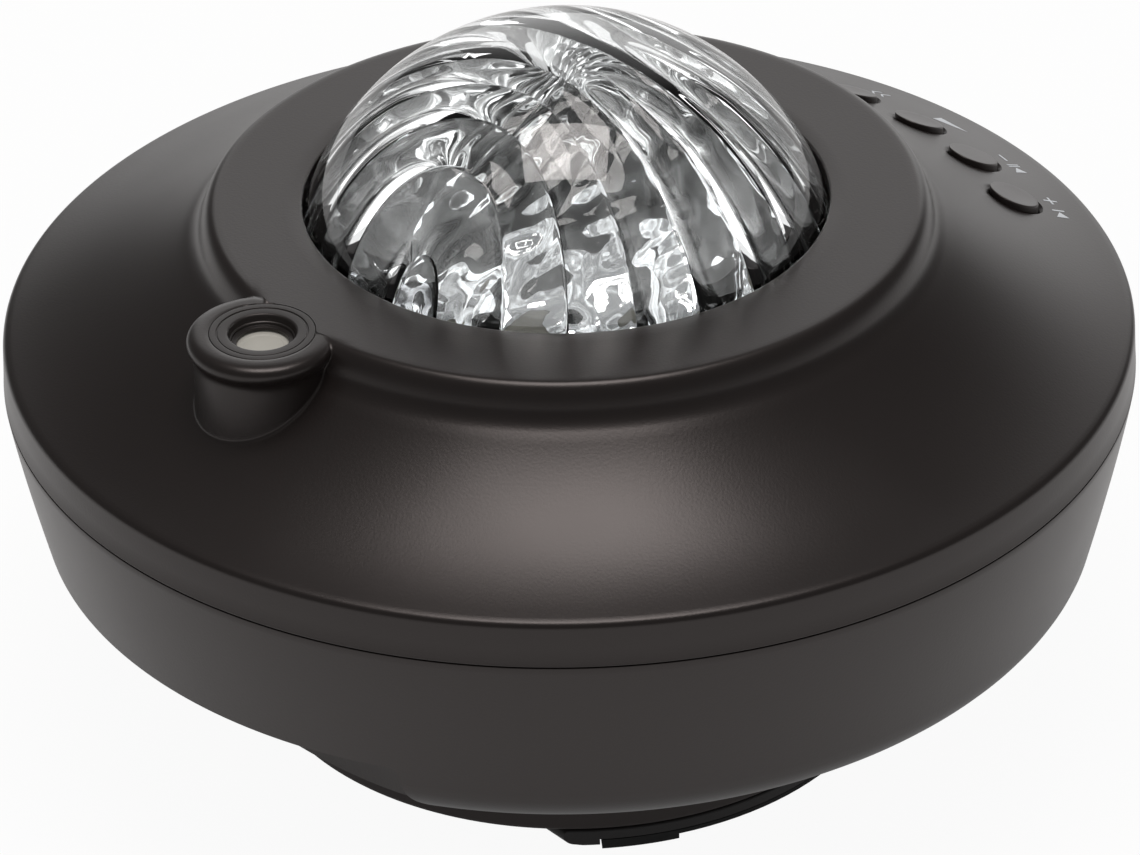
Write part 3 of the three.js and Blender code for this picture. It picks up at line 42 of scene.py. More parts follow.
# Camera at the photograph's angle
cameraView = {
    "azimuth": 50.0, "elevation": 31.61, "roll": -1.22, "distance": 1021.2,
    "orbitHeight": 55.0, "aimSide": -0.14, "aimHeight": 43.66, "lens": 216.6,
}


def awayFrom(azimuth, elevation):
    turn, lift = math.radians(azimuth), math.radians(elevation)
    return Vector((math.sin(turn) * math.cos(lift), -math.cos(turn) * math.cos(lift), math.sin(lift)))


def makeCamera(view):
    turn = math.radians(view["azimuth"])
    away = awayFrom(view["azimuth"], view["elevation"])
    place = away * view["distance"] + Vector((0, 0, view["orbitHeight"]))
    aim = Vector((view["aimSide"] * math.cos(turn), view["aimSide"] * math.sin(turn), view["aimHeight"]))
    data = bpy.data.cameras.new("photoCamera")
    data.lens = view["lens"]
    data.clip_start, data.clip_end = 0.05, 50
    camera = bpy.data.objects.new("photoCamera", data)
    bpy.context.scene.collection.objects.link(camera)
    camera.rotation_mode = "QUATERNION"
    camera.location = place * mm
    level = (aim - place).to_track_quat("-Z", "Y")
    tilt = Quaternion((place - aim).normalized(), math.radians(view["roll"]))
    camera.rotation_quaternion = tilt @ level
    bpy.context.scene.camera = camera


makeCamera(cameraView)
bpy.context.scene.view_settings.view_transform = "Standard"
print("camera ready")

# Outlines and meshes


def onCircle(radius, degrees):
    return radius * math.cos(math.radians(degrees)), radius * math.sin(math.radians(degrees))


def bezier(start, bend, end, steps):
    t = np.linspace(0, 1, steps + 1)[:, None]
    a, b, c = (np.array(point, float) for point in (start, bend, end))
    return (1 - t) ** 2 * a + 2 * t * (1 - t) * b + t ** 2 * c


def rounded(corners, steps=5, closed=True):
    # corners are (across, up, rounding)
    outline = []
    for index, (across, up, rounding) in enumerate(corners):
        here = np.array((across, up), float)
        if rounding == 0 or (not closed and index in (0, len(corners) - 1)):
            outline.append(here)
            continue
        before = np.array(corners[index - 1][:2], float) - here
        after = np.array(corners[(index + 1) % len(corners)][:2], float) - here
        lengths = np.hypot(*before), np.hypot(*after)
        before, after = before / lengths[0], after / lengths[1]
        half = math.acos(float(np.clip(before @ after, -1, 1))) / 2
        trim = min(rounding / math.tan(half), 0.49 * lengths[0], 0.49 * lengths[1])
        outline.extend(bezier(here + before * trim, here, here + after * trim, steps))
    return np.array(outline)


def offset(outline, distance):
    # the same outline moved square to itself, towards its right-hand side
    ahead = np.vstack([outline[1:], outline[-1:]]) - np.vstack([outline[:1], outline[:-1]])
    ahead /= np.hypot(ahead[:, 0], ahead[:, 1])[:, None]
    return outline + distance * np.stack([ahead[:, 1], -ahead[:, 0]], 1)


def lathe(outline, sides, closed=True):
    # a closed outline makes a ring, an open one starts and ends on the axis
    rows = np.array(outline, float)
    if not closed:
        first, last, rows = rows[0], rows[-1], rows[1:-1]
    turn = np.arange(sides) * 2 * math.pi / sides
    flat = rows[:, :1]
    points = np.stack([flat * np.cos(turn), flat * np.sin(turn), rows[:, 1:] + 0 * turn], -1).reshape(-1, 3)
    column = np.arange(sides)
    beside = (column + 1) % sides
    faces = []
    for row in range(len(rows) if closed else len(rows) - 1):
        low, high = row * sides, (row + 1) % len(rows) * sides
        faces += np.stack([low + column, low + beside, high + beside, high + column], 1).tolist()
    if not closed:
        top = (len(rows) - 1) * sides
        count = len(points)
        points = np.vstack([points, [(0, 0, first[1]), (0, 0, last[1])]])
        faces += [[count, int(b), int(a)] for a, b in zip(column, beside)]
        faces += [[count + 1, int(top + a), int(top + b)] for a, b in zip(column, beside)]
    return points, faces


def extrude(outline, low, high):
    # an outline in the ground plane, raised along Z
    outline = np.array(outline, float)
    count = len(outline)
    points = np.vstack([np.column_stack([outline, np.full(count, height)]) for height in (low, high)])
    faces = [list(range(count))[::-1], list(range(count, 2 * count))]
    faces += [[i, (i + 1) % count, (i + 1) % count + count, i + count] for i in range(count)]
    return points, faces


def disc(radius, sides, x=0.0, y=0.0):
    return [(x + radius * math.cos(2 * math.pi * i / sides), y + radius * math.sin(2 * math.pi * i / sides))
            for i in range(sides)]


def extrudeX(outline, left, right):
    points, faces = extrude(outline, left, right)
    return points[:, [2, 0, 1]], faces


def alongY(points):
    points = np.array(points, float)
    return np.column_stack([points[:, 0], points[:, 2], points[:, 1]])


def moved(points, x=0.0, y=0.0, turn=0.0):
    points = np.array(points, float)
    c, s = math.cos(math.radians(turn)), math.sin(math.radians(turn))
    return np.column_stack([c * points[:, 0] - s * points[:, 1] + x, s * points[:, 0] + c * points[:, 1] + y,
                            points[:, 2]])


def box(x0, x1, y0, y1, z0, z1):
    return extrude([(x0, y0), (x1, y0), (x1, y1), (x0, y1)], z0, z1)


def turnOutwards(work):
    bmesh.ops.recalc_face_normals(work, faces=work.faces)
    if work.calc_volume(signed=True) < 0:
        bmesh.ops.reverse_faces(work, faces=work.faces)


def makePiece(name, points, faces, material=None, sharp=32, turnOut=True):
    mesh = bpy.data.meshes.new(name)
    mesh.from_pydata((np.array(points, float) * mm).tolist(), [], faces)
    if turnOut:
        work = bmesh.new()
        work.from_mesh(mesh)
        turnOutwards(work)
        work.to_mesh(mesh)
        work.free()
    piece = bpy.data.objects.new(name, mesh)
    bpy.context.scene.collection.objects.link(piece)
    if material:
        mesh.materials.append(material)
    smooth(piece, sharp)
    return piece


def smooth(piece, sharp):
    piece.data.shade_smooth()
    piece.data.set_sharp_from_angle(angle=math.radians(sharp))


def settle(piece):
    # the evaluated piece as a plain mesh, with its modifiers gone
    graph = bpy.context.evaluated_depsgraph_get()
    plain = bpy.data.meshes.new_from_object(piece.evaluated_get(graph), depsgraph=graph)
    piece.modifiers.clear()
    plain.name = piece.name
    piece.data = plain


def combine(piece, others, how):
    # one plain mesh out of the piece and the others, which go
    for other in others:
        change = piece.modifiers.new("combine", "BOOLEAN")
        change.operation, change.solver, change.object = how, "EXACT", other
    settle(piece)
    for other in others:
        bpy.data.objects.remove(other)


def carve(piece, tools, how="DIFFERENCE", sharp=32):
    combine(piece, [makePiece("cutter", *tool) for tool in tools], how)
    smooth(piece, sharp)


def joinInto(piece, other):
    work = bmesh.new()
    work.from_mesh(piece.data)
    work.from_mesh(other.data)
    bpy.data.objects.remove(other)
    work.to_mesh(piece.data)
    work.free()


def closeUp(piece, sharp=32):
    # joins the points that lie on one another and turns the faces outwards
    work = bmesh.new()
    work.from_mesh(piece.data)
    bmesh.ops.remove_doubles(work, verts=work.verts, dist=1e-7)
    bmesh.ops.dissolve_degenerate(work, edges=work.edges, dist=1e-8)
    bmesh.ops.delete(work, geom=[edge for edge in work.edges if not edge.link_faces], context="EDGES")
    turnOutwards(work)
    work.to_mesh(piece.data)
    work.free()
    smooth(piece, sharp)


def hand(piece, body, slot, *stoodFor):
    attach(piece, body)
    if stoodFor:
        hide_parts(*stoodFor)
    return piece


# Node trees


def plug(tree, value, socket):
    # a number or a colour is set, an output is linked
    if isinstance(value, (int, float, tuple)):
        socket.default_value = value
    else:
        tree.links.new(value, socket)


def fill(tree, node, values):
    for name, value in values.items():
        plug(tree, value, node.inputs[name])
    return node


def add(tree, kind, values=None):
    return fill(tree, tree.nodes.new(kind), values or {})


def maths(tree, operation, *values):
    node = tree.nodes.new("ShaderNodeMath")
    node.operation = operation
    for socket, value in zip(node.inputs, values):
        plug(tree, value, socket)
    return node.outputs[0]


def vector(tree, x=0, y=0, z=0):
    return add(tree, "ShaderNodeCombineXYZ", {"X": x, "Y": y, "Z": z}).outputs[0]


def startTree(name, sockets):
    tree = bpy.data.node_groups.new(name, "GeometryNodeTree")
    tree.interface.new_socket("Geometry", in_out="OUTPUT", socket_type="NodeSocketGeometry")
    for label, kind, value in sockets:
        socket = tree.interface.new_socket(label, in_out="INPUT", socket_type="NodeSocket" + kind)
        if value is not None:
            socket.default_value = value
    given = tree.nodes.new("NodeGroupInput")
    return tree, {socket.name: socket for socket in given.outputs if socket.name}


def endTree(tree, geometry, material):
    real = add(tree, "GeometryNodeRealizeInstances", {"Geometry": geometry})
    paint = add(tree, "GeometryNodeSetMaterial", {"Geometry": real.outputs[0], "Material": material})
    add(tree, "NodeGroupOutput", {"Geometry": paint.outputs[0]})


def growPiece(name, tree, values, sharp=32):
    # runs a node tree with these inputs and keeps the result as a plain closed mesh
    mesh = bpy.data.meshes.new(name)
    piece = bpy.data.objects.new(name, mesh)
    bpy.context.scene.collection.objects.link(piece)
    grow = piece.modifiers.new("grow", "NODES")
    grow.node_group = tree
    for item in tree.interface.items_tree:
        if item.in_out == "INPUT" and item.name in values:
            grow[item.identifier] = values[item.name]
    settle(piece)
    closeUp(piece, sharp)
    look = piece.data.materials[-1]  # the tree leaves an empty slot before it
    piece.data.materials.clear()
    piece.data.materials.append(look)
    return piece


# Materials


def shade(red, green, blue):
    # screen colour, 0 to 255, as the light value that shaders want
    values = [channel / 255 for channel in (red, green, blue)]
    return (*[v / 12.92 if v <= 0.04045 else ((v + 0.055) / 1.055) ** 2.4 for v in values], 1.0)


def noise(tree, place, size, detail=2.0):
    values = {"Scale": 1 / (size * mm), "Detail": detail, "Vector": place}
    return add(tree, "ShaderNodeTexNoise", values).outputs["Fac"]


def spread(tree, value, low, high, start=0.3, end=0.7):
    values = {"From Min": start, "From Max": end, "To Min": low, "To Max": high, "Value": value}
    return add(tree, "ShaderNodeMapRange", values).outputs["Result"]


plainLook = {"colourDrift": 3, "cloudSize": 18, "roughnessDrift": 0.04, "grainSize": 0.5, "grainDepth": 0.02,
             "grainStrength": 0.3, "sockets": {}}


def makeFinish(name, ownLook):
    look = {**plainLook, **ownLook}
    material = bpy.data.materials.new(name)
    material.use_nodes = True
    tree = material.node_tree
    place = add(tree, "ShaderNodeTexCoord").outputs["Object"]
    cloud = noise(tree, place, look["cloudSize"])
    blend = tree.nodes.new("ShaderNodeMix")
    blend.data_type = "RGBA"
    fill(tree, blend, {
        "A": shade(*look["colour"]), "B": shade(*[c + look["colourDrift"] for c in look["colour"]]),
        "Factor": spread(tree, cloud, 0, 1)})
    rough, drift = look["roughness"], look["roughnessDrift"]
    grain = add(tree, "ShaderNodeBump", {
        "Strength": look["grainStrength"], "Distance": look["grainDepth"] * mm,
        "Height": noise(tree, place, look["grainSize"], 3.0)})
    fill(tree, tree.nodes["Principled BSDF"], {
        "Base Color": blend.outputs["Result"], "Roughness": spread(tree, cloud, rough - drift, rough + drift),
        "Normal": grain.outputs["Normal"], **look["sockets"]})
    return material


warmSheen = {"Specular Tint": (1.0, 0.93, 0.91, 1.0)}
metal = {"Metallic": 1.0}
clear = {"Transmission Weight": 1.0, "IOR": 1.49}
finishes = {
    "shellFinish": {"colour": (25, 21, 20), "colourDrift": 1, "cloudSize": 30, "roughness": 0.32,
                    "roughnessDrift": 0.02, "grainSize": 0.42, "grainDepth": 0.045, "sockets": warmSheen},
    "footFinish": {"colour": (36, 31, 30), "roughness": 0.5, "grainSize": 0.42, "grainDepth": 0.04,
                   "grainStrength": 0.35, "sockets": warmSheen},
    "standFinish": {"colour": (24, 21, 21), "roughness": 0.42, "grainDepth": 0.04},
    "padRubber": {"colour": (18, 18, 18), "roughness": 0.75, "grainSize": 0.7, "grainDepth": 0.05},
    "bezelFinish": {"colour": (24, 21, 20), "roughness": 0.36, "grainSize": 0.42, "sockets": warmSheen},
    "innerBlack": {"colour": (14, 13, 14), "roughness": 0.35, "grainSize": 1.2},
    "gearWhite": {"colour": (222, 220, 212), "roughness": 0.4, "grainSize": 0.8,
                  "sockets": {"Subsurface Weight": 0.05}},
    "keyTop": {"colour": (34, 30, 29), "roughness": 0.3, "grainSize": 0.4, "grainDepth": 0.015,
               "sockets": warmSheen},
    "frostedPanel": {"colour": (170, 168, 160), "colourDrift": 6, "cloudSize": 3, "roughness": 0.5,
                     "grainSize": 0.4, "grainDepth": 0.03},
    "steelFinish": {"colour": (170, 168, 165), "roughness": 0.3, "grainSize": 0.6, "grainDepth": 0.01,
                    "sockets": metal},
    "mirrorFinish": {"colour": (236, 236, 238), "roughness": 0.05, "roughnessDrift": 0.02, "grainSize": 6,
                     "grainStrength": 0.2, "sockets": metal},
    "cupCollar": {"colour": (12, 11, 11), "roughness": 0.12, "roughnessDrift": 0.02, "grainSize": 3,
                  "grainDepth": 0.01},
    "aluminiumFinish": {"colour": (186, 188, 190), "roughness": 0.38, "grainSize": 0.3, "sockets": metal},
    "lampBoard": {"colour": (150, 148, 140), "roughness": 0.45, "grainSize": 0.6},
    "brassFinish": {"colour": (190, 152, 84), "roughness": 0.28, "grainDepth": 0.01, "sockets": metal},
    "boardGreen": {"colour": (24, 84, 50), "colourDrift": 10, "cloudSize": 4, "roughness": 0.4,
                   "grainSize": 0.9, "grainDepth": 0.03},
    "socketBlack": {"colour": (20, 20, 20), "roughness": 0.4},
    "nickelFinish": {"colour": (196, 194, 190), "roughness": 0.24, "grainSize": 0.8, "grainDepth": 0.01,
                     "sockets": metal},
    "conePaper": {"colour": (34, 34, 36), "colourDrift": 8, "cloudSize": 2, "roughness": 0.85,
                  "grainSize": 0.6, "grainDepth": 0.12, "grainStrength": 0.6},
    "magnetFinish": {"colour": (84, 84, 86), "roughness": 0.5, "grainSize": 0.6, "grainDepth": 0.05,
                     "sockets": {"Metallic": 0.7}},
    "redLead": {"colour": (150, 30, 28), "roughness": 0.42, "grainSize": 0.6},
    "blueLead": {"colour": (38, 62, 150), "roughness": 0.42, "grainSize": 0.6},
    "printWhite": {"colour": (196, 200, 204), "roughness": 0.6, "grainSize": 0.25},
    "domeFinish": {"colour": (252, 253, 253), "colourDrift": 1, "roughness": 0.0, "roughnessDrift": 0.0,
                   "grainSize": 14, "grainDepth": 0.04, "grainStrength": 0.15, "sockets": clear},
    "lensFinish": {"colour": (252, 253, 253), "colourDrift": 1, "roughness": 0.01, "roughnessDrift": 0.01,
                   "grainSize": 7, "grainDepth": 0.08, "grainStrength": 0.2, "sockets": clear},
}
looks = {name: makeFinish(name, look) for name, look in finishes.items()}
nodeLooks = {
    "shellFinish": ["upper_shell", "lower_shell"], "footFinish": ["base_plate"], "standFinish": ["kickstand"],
    "padRubber": ["kickstand_pads"], "conePaper": ["speaker_cone"], "magnetFinish": ["speaker_magnet"],
    "steelFinish": ["speaker_basket", "ripple_motor", "grating_motor"], "domeFinish": ["dome"],
    "innerBlack": ["dome_retainer", "gear_deck", "laser_holder", "chassis"], "lensFinish": ["ripple_lens"],
    "gearWhite": ["ripple_pinion", "grating_wheel", "grating_pinion"], "mirrorFinish": ["reflector_cup"],
    "aluminiumFinish": ["heat_sink"], "lampBoard": ["led_board"], "brassFinish": ["laser_module"],
    "bezelFinish": ["aperture_bezel"], "frostedPanel": ["aperture_lens"], "socketBlack": ["power_socket"],
    "boardGreen": ["button_board", "main_board", "socket_board"], "nickelFinish": ["usb_socket"],
    "redLead": ["speaker_leads", "power_leads"], "blueLead": ["motor_leads"],
}
lookOf = {node: name for name, members in nodeLooks.items() for node in members}


def finishOf(node):
    if node.startswith("button_") and node[-1].isdigit() and "screw" not in node:
        return "keyTop"
    return lookOf.get(node, "steelFinish")


for nodeName, cadObject in cadNodes.items():
    if not cadObject.material_slots:
        cadObject.data.materials.append(None)
    for place in cadObject.material_slots:
        place.material = looks[finishOf(nodeName)]
print("materials ready:", len(looks))

# Upper casing: ring, flared shoulder, rim and boss

caseTop = {
    "columns": 480, "top": 83.9, "bottom": 57.2, "mouth": ((38.7, 83.55), (38.7, 83.9), (39.05, 83.9)),
    "flatRadii": (41.5, 43.5, 46.0, 48.5, 50.6), "ringEdge": ((51.4, 83.9), (53.05, 83.9), (53.9, 80.7)),
    "ringFoot": ((54.0, 80.35), (54.5, 78.9), (56.4, 77.7)),
    "flare": ((55.4, 78.5), (67.9, 68.4), (82.3, 64.4)), "flareFrom": 56.45,
    "rim": ((82.7, 64.3), (83.72, 64.0), (83.74, 63.1)), "band": [(83.86, 60.0), (83.98, 57.4)],
    "lowerEdge": ((84.0, 57.35), (84.0, 57.2), (83.85, 57.2)), "wall": 2.2, "insideFrom": 56.5,
    "insideTo": 81.6, "bandInside": 81.8, "bandInsideTop": 61.6,
    "ringInside": [(52.6, 77.6), (51.0, 81.7), (38.7, 81.7)], "patchRadii": (43.5, 72.0),
    "patchHalfAngle": 15.0,
}
boss = {
    "distance": 56.9, "pocket": ((7.68, 83.82), (7.68, 83.9), (7.76, 83.9)),
    "lip": ((8.6, 83.9), (10.95, 83.9), (10.9, 82.3)),
    "lipUnder": ((10.88, 82.2), (10.8, 81.5), (10.4, 81.15)),
    "neck": ((10.35, 81.1), (10.0, 80.75), (10.0, 79.7)), "sideTop": (10.0, 79.4),
    "sideFoot": (10.25, 67.7), "fillet": 0.5, "clear": 0.004, "outSteps": 90, "sideSteps": 34,
    "filletSteps": 6, "shoulderSteps": 44, "wellHeights": (75.0, 79.0, 82.5), "tubeInner": 8.0,
    "tubeOuter": 9.3, "tubeTop": 80.0, "tubeFoot": 67.7,
}


def shoulderOutline(sizes, detail):
    flare = bezier(*sizes["flare"], 25 * detail)
    return np.vstack([
        bezier(*sizes["mouth"], 3 * detail), [(radius, sizes["top"]) for radius in sizes["flatRadii"]],
        bezier(*sizes["ringEdge"], 9 * detail), bezier(*sizes["ringFoot"], 8 * detail),
        flare[flare[:, 0] > sizes["flareFrom"]], bezier(*sizes["rim"], 6 * detail)[1:], sizes["band"],
        bezier(*sizes["lowerEdge"], 2),
    ])


shoulder = shoulderOutline(caseTop, 1)
fineShoulder = shoulderOutline(caseTop, 6)


def heightAt(radius):
    return np.interp(radius, fineShoulder[:-3, 0], fineShoulder[:-3, 1])


def bossOutline(sizes):
    return np.vstack([
        bezier(*sizes["pocket"], 4), bezier(*sizes["lip"], 16), bezier(*sizes["lipUnder"], 8)[1:],
        bezier(*sizes["neck"], 8), np.linspace(sizes["sideTop"], sizes["sideFoot"], 24),
    ])


def bossColumn(target, outline, sizes):
    # one section from the pocket's edge over the lip, down the boss and out along the shoulder
    axis = np.array((0, -sizes["distance"]))
    away = target[:2] - axis
    reach = np.hypot(*away)
    away = away / reach

    def groundAt(across):
        return heightAt(np.hypot(*(axis[:, None] + away[:, None] * across)))

    across, up = outline.T
    ground = groundAt(across)
    stop = int(np.nonzero(up < ground - sizes["clear"])[0][0])
    above, below = up[stop - 1] - ground[stop - 1], up[stop] - ground[stop]
    share = float(np.clip(above / (above - below), 0, 1))
    foot = across[stop - 1] + share * (across[stop] - across[stop - 1])
    out = np.linspace(foot, reach, sizes["outSteps"])
    outUp = groundAt(out)
    outUp[-1] = target[2]
    line = np.vstack([outline[:stop], np.column_stack([out, outUp])])
    run = np.concatenate([[0], np.cumsum(np.hypot(*np.diff(line, axis=0).T))])
    bend, end = run[stop], run[-1]
    blend = min(sizes["fillet"], 0.45 * bend, 0.45 * (end - bend))

    def at(place):
        return np.column_stack([np.interp(place, run, line[:, 0]), np.interp(place, run, line[:, 1])])

    first, middle, last = at([bend - blend, bend, bend + blend])
    section = np.vstack([
        at(np.linspace(0, bend - blend, sizes["sideSteps"]))[:-1],
        bezier(first, middle, last, sizes["filletSteps"]),
        at(np.linspace(bend + blend, end, sizes["shoulderSteps"]))[1:-1],
    ])
    return np.column_stack([axis + away * section[:, :1], section[:, 1]])


def makeCaseTop(sizes, bossSizes):
    columns = sizes["columns"]
    under = offset(shoulder, sizes["wall"])
    under = under[(shoulder[:, 0] > sizes["insideFrom"]) & (under[:, 0] < sizes["insideTo"])]
    band = [(sizes["bandInside"], sizes["bottom"]), (sizes["bandInside"], sizes["bandInsideTop"])]
    outline = np.vstack([shoulder, band, under[::-1], sizes["ringInside"]])
    turn = np.radians(-90 + np.arange(columns) * 360 / columns)
    flat = outline[:, :1]
    grid = np.stack([flat * np.cos(turn), flat * np.sin(turn), outline[:, 1:] + 0 * turn], -1)
    # the shoulder round the boss is left open, and the boss's own sections fill it
    first, last = (int(np.argmin(abs(shoulder[:, 0] - radius))) for radius in sizes["patchRadii"])
    half = round(sizes["patchHalfAngle"] * columns / 360)
    faces = []
    for row in range(len(outline)):
        below = (row + 1) % len(outline)
        for column in range(columns):
            beside = (column + 1) % columns
            if first <= row < last and (column < half or column >= columns - half):
                continue
            faces.append([row * columns + column, row * columns + beside, below * columns + beside,
                          below * columns + column])
    steps = list(range(-half, half + 1))
    edge = [(first, c) for c in steps] + [(r, half) for r in range(first + 1, last + 1)]
    edge += [(last, c) for c in steps[::-1][1:]] + [(r, -half) for r in range(last - 1, first, -1)]
    edgeIndex = [row * columns + column % columns for row, column in edge]
    side = bossOutline(bossSizes)
    sections = np.array([bossColumn(grid[row, column % columns], side, bossSizes) for row, column in edge])
    rings = []
    for height in bossSizes["wellHeights"]:
        ring = sections[:, 0].copy()
        ring[:, 2] = height
        rings.append(ring)
    rings += [sections[:, index] for index in range(sections.shape[1])]
    points = grid.reshape(-1, 3)
    start, count = len(points), len(edge)
    points = np.vstack([points, *rings, [(0, -bossSizes["distance"], bossSizes["wellHeights"][0])]])
    for ring in range(len(rings)):
        for k in range(count):
            after = (k + 1) % count
            low = start + ring * count
            if ring + 1 < len(rings):
                above = [low + count + k, low + count + after]
            else:
                above = [edgeIndex[k], edgeIndex[after]]
            faces.append([low + k, low + after, above[1], above[0]])
    faces += [[len(points) - 1, start + (k + 1) % count, start + k] for k in range(count)]
    return makePiece("caseTop", points, faces, looks["shellFinish"], sharp=40)


caseTopPiece = makeCaseTop(caseTop, boss)

# Keys and the holes that they sit in

keys = {"count": 5, "circle": 71.0, "spacing": 10.9, "radius": 3.7, "proud": 0.95, "edge": 0.3,
        "sideHeight": 2.2, "dishRim": 1.4, "dish": 0.16, "flange": 4.9, "flangeHeight": 62.95,
        "flangeThickness": 1.0, "hole": 3.85, "holeBottom": 60.0, "holeTop": 75.0, "easing": 0.8,
        "leanDepth": 2.3, "leanOver": 1.2, "slopeSpan": 7.6, "sides": 64}


def keyAngle(index):
    return 90 + (index - (keys["count"] - 1) / 2) * keys["spacing"]


keyReach = keys["slopeSpan"] / 2
keySlope = (heightAt(keys["circle"] - keyReach) - heightAt(keys["circle"] + keyReach)) / keys["slopeSpan"]


def keyHoles(sizes):
    # one hole for each key, its mouth eased along the shoulder's slope
    tools = []
    ground, hole, easing = heightAt(sizes["circle"]), sizes["hole"], sizes["easing"]
    low, high = sizes["holeBottom"], sizes["holeTop"]
    for index in range(sizes["count"]):
        outline = [(0, low), (hole, low), (hole, ground - easing / 2), (hole + easing, ground + easing / 2),
                   (hole + easing, high), (0, high)]
        points, faces = lathe(outline, sizes["sides"], closed=False)
        points[:, 2] -= keySlope * points[:, 0] * np.clip((points[:, 2] - low) / 2 - 1, 0, 1)
        x, y = onCircle(sizes["circle"], keyAngle(index))
        tools.append((moved(points, x, y, turn=keyAngle(index)), faces))
    return tools


carve(caseTopPiece, keyHoles(keys), sharp=40)
tubePoints, tubeFaces = lathe([
    (boss["tubeInner"], boss["tubeFoot"]), (boss["tubeOuter"], boss["tubeFoot"]),
    (boss["tubeOuter"], boss["tubeTop"]), (boss["tubeInner"], boss["tubeTop"]),
], 64)
bossTube = makePiece("bossTube", moved(tubePoints, y=-boss["distance"]), tubeFaces, looks["shellFinish"])
joinInto(caseTopPiece, bossTube)
hand(caseTopPiece, "body", "shell", "upper_shell")
print("upper casing ready:", len(caseTopPiece.data.polygons), "faces")


def makeKey(index, sizes):
    top = heightAt(sizes["circle"]) + sizes["proud"]
    radius, flange, low = sizes["radius"], sizes["flange"], sizes["flangeHeight"]
    high = low + sizes["flangeThickness"]
    outline = rounded([
        (0, low, 0), (flange, low, 0.1), (flange, high, 0.15), (radius, high, 0.1),
        (radius, top - sizes["sideHeight"], 0), (radius, top, sizes["edge"]),
        (radius - sizes["dishRim"], top - sizes["dish"] / 2, 0.3), (0, top - sizes["dish"], 0),
    ], 4, closed=False)
    points, faces = lathe(outline, sizes["sides"], closed=False)
    # the top leans with the shoulder, the flange stays level
    tilt = np.clip((points[:, 2] - (top - sizes["leanDepth"])) / sizes["leanOver"], 0, 1)
    points[:, 2] -= tilt * keySlope * points[:, 0]
    x, y = onCircle(sizes["circle"], keyAngle(index))
    number = str(index + 1)
    points = moved(points, x, y, turn=keyAngle(index))
    piece = makePiece("keyCap" + number, points, faces, looks["keyTop"], 50)
    return hand(piece, "key_" + number, "key", "button_" + number)


for keyIndex in range(keys["count"]):
    makeKey(keyIndex, keys)
marks = {"circle": 77.75, "proud": 0.03, "sunk": 0.05}


def noteOutline():
    head = [(-0.6 + 0.6 * math.cos(math.radians(a)), -0.7 + 0.42 * math.sin(math.radians(a)))
            for a in np.linspace(10, -300, 16)]
    return [(-0.25, 1.1), (-0.01, 1.1), (0.9, 0.6), (0.9, 0.3), (-0.01, 0.8), *head]


def markOutlines():
    # plain signs, one list for each key: across to the right, up towards the dome
    def bar(left, width):
        return [(left, -1.0), (left + width, -1.0), (left + width, 1.0), (left, 1.0)]

    def chevron(left):
        return [(left, -1.0), (left + 0.45, -1.0), (left + 1.35, 0), (left + 0.45, 1.0), (left, 1.0),
                (left + 0.9, 0)]

    play = [(-3.3, -1.0), (-1.6, 0), (-3.3, 1.0)]
    plus = [(0.9, -0.17), (1.83, -0.17), (1.83, -1.1), (2.17, -1.1), (2.17, -0.17), (3.1, -0.17), (3.1, 0.17),
            (2.17, 0.17), (2.17, 1.1), (1.83, 1.1), (1.83, 0.17), (0.9, 0.17)]
    minus = [(0.9, -0.17), (3.1, -0.17), (3.1, 0.17), (0.9, 0.17)]
    wedge = [(-3, -0.8), (3, -0.8), (3, 0.9)]
    return [[play, bar(-1.3, 0.35), plus], [play, bar(-1.3, 0.3), bar(-0.75, 0.3), minus], [wedge],
            [chevron(-1.6), chevron(0.1)], [noteOutline()]]


def makeMarks(sizes):
    points, faces = [], []
    for index, outlines in enumerate(markOutlines()):
        for outline in outlines:
            start, count = len(points), len(outline)
            for lift in (-sizes["sunk"], sizes["proud"]):
                for across, up in outline:
                    radius = sizes["circle"] - up
                    x, y = onCircle(radius, keyAngle(index) + math.degrees(across / radius))
                    points.append((x, y, float(heightAt(radius)) + lift))
            faces += [[start + i for i in range(count)][::-1], [start + count + i for i in range(count)]]
            faces += [[start + i, start + (i + 1) % count, start + count + (i + 1) % count, start + count + i]
                      for i in range(count)]
    return hand(makePiece("keyMarks", points, faces, looks["printWhite"], 20), "body", "shell")


makeMarks(marks)
print("keys ready")

# Lower casing

caseBottom = {
    "sides": 360, "wall": 2.2, "upperEdge": ((83.85, 57.0), (84.0, 57.0), (84.0, 56.84)),
    "upperBowl": ((84.0, 56.75), (82.2, 46.0), (78.4, 30.4)),
    "bowlBend": ((78.4, 30.4), (77.4, 27.3), (72.4, 24.2)),
    "lowerBowl": ((72.4, 24.2), (62.0, 17.8), (49.6, 12.0)),
    "mouth": [(38.5, 12.0), (38.5, 14.2), (48.6, 14.2)], "insideFrom": 14.4, "insideTo": 79.2,
    "tongue": [(79.3, 54.9), (79.3, 59.4), (81.5, 59.4), (81.5, 57.0)], "recessHalf": 41.0,
    "recessFace": -59.3, "recessTop": 34.5, "recessRounding": 1.6, "wallsFront": -86.0, "wallsFoot": 13.1,
    "wallsInset": 0.8, "cutFront": -90.0, "socketHeight": 24.4, "jackX": 16.7, "jackHole": 4.1,
    "slotX": -6.0, "slotWidth": 13.8, "slotHeight": 6.4, "slotRounding": 0.6, "screwCircle": 70.5,
    "screwHole": 2.9, "screwSeat": 49.0,
}


def bowlOutline(sizes):
    return np.vstack([bezier(*sizes["upperBowl"], 22), bezier(*sizes["bowlBend"], 8)[1:],
                      bezier(*sizes["lowerBowl"], 14)[1:]])


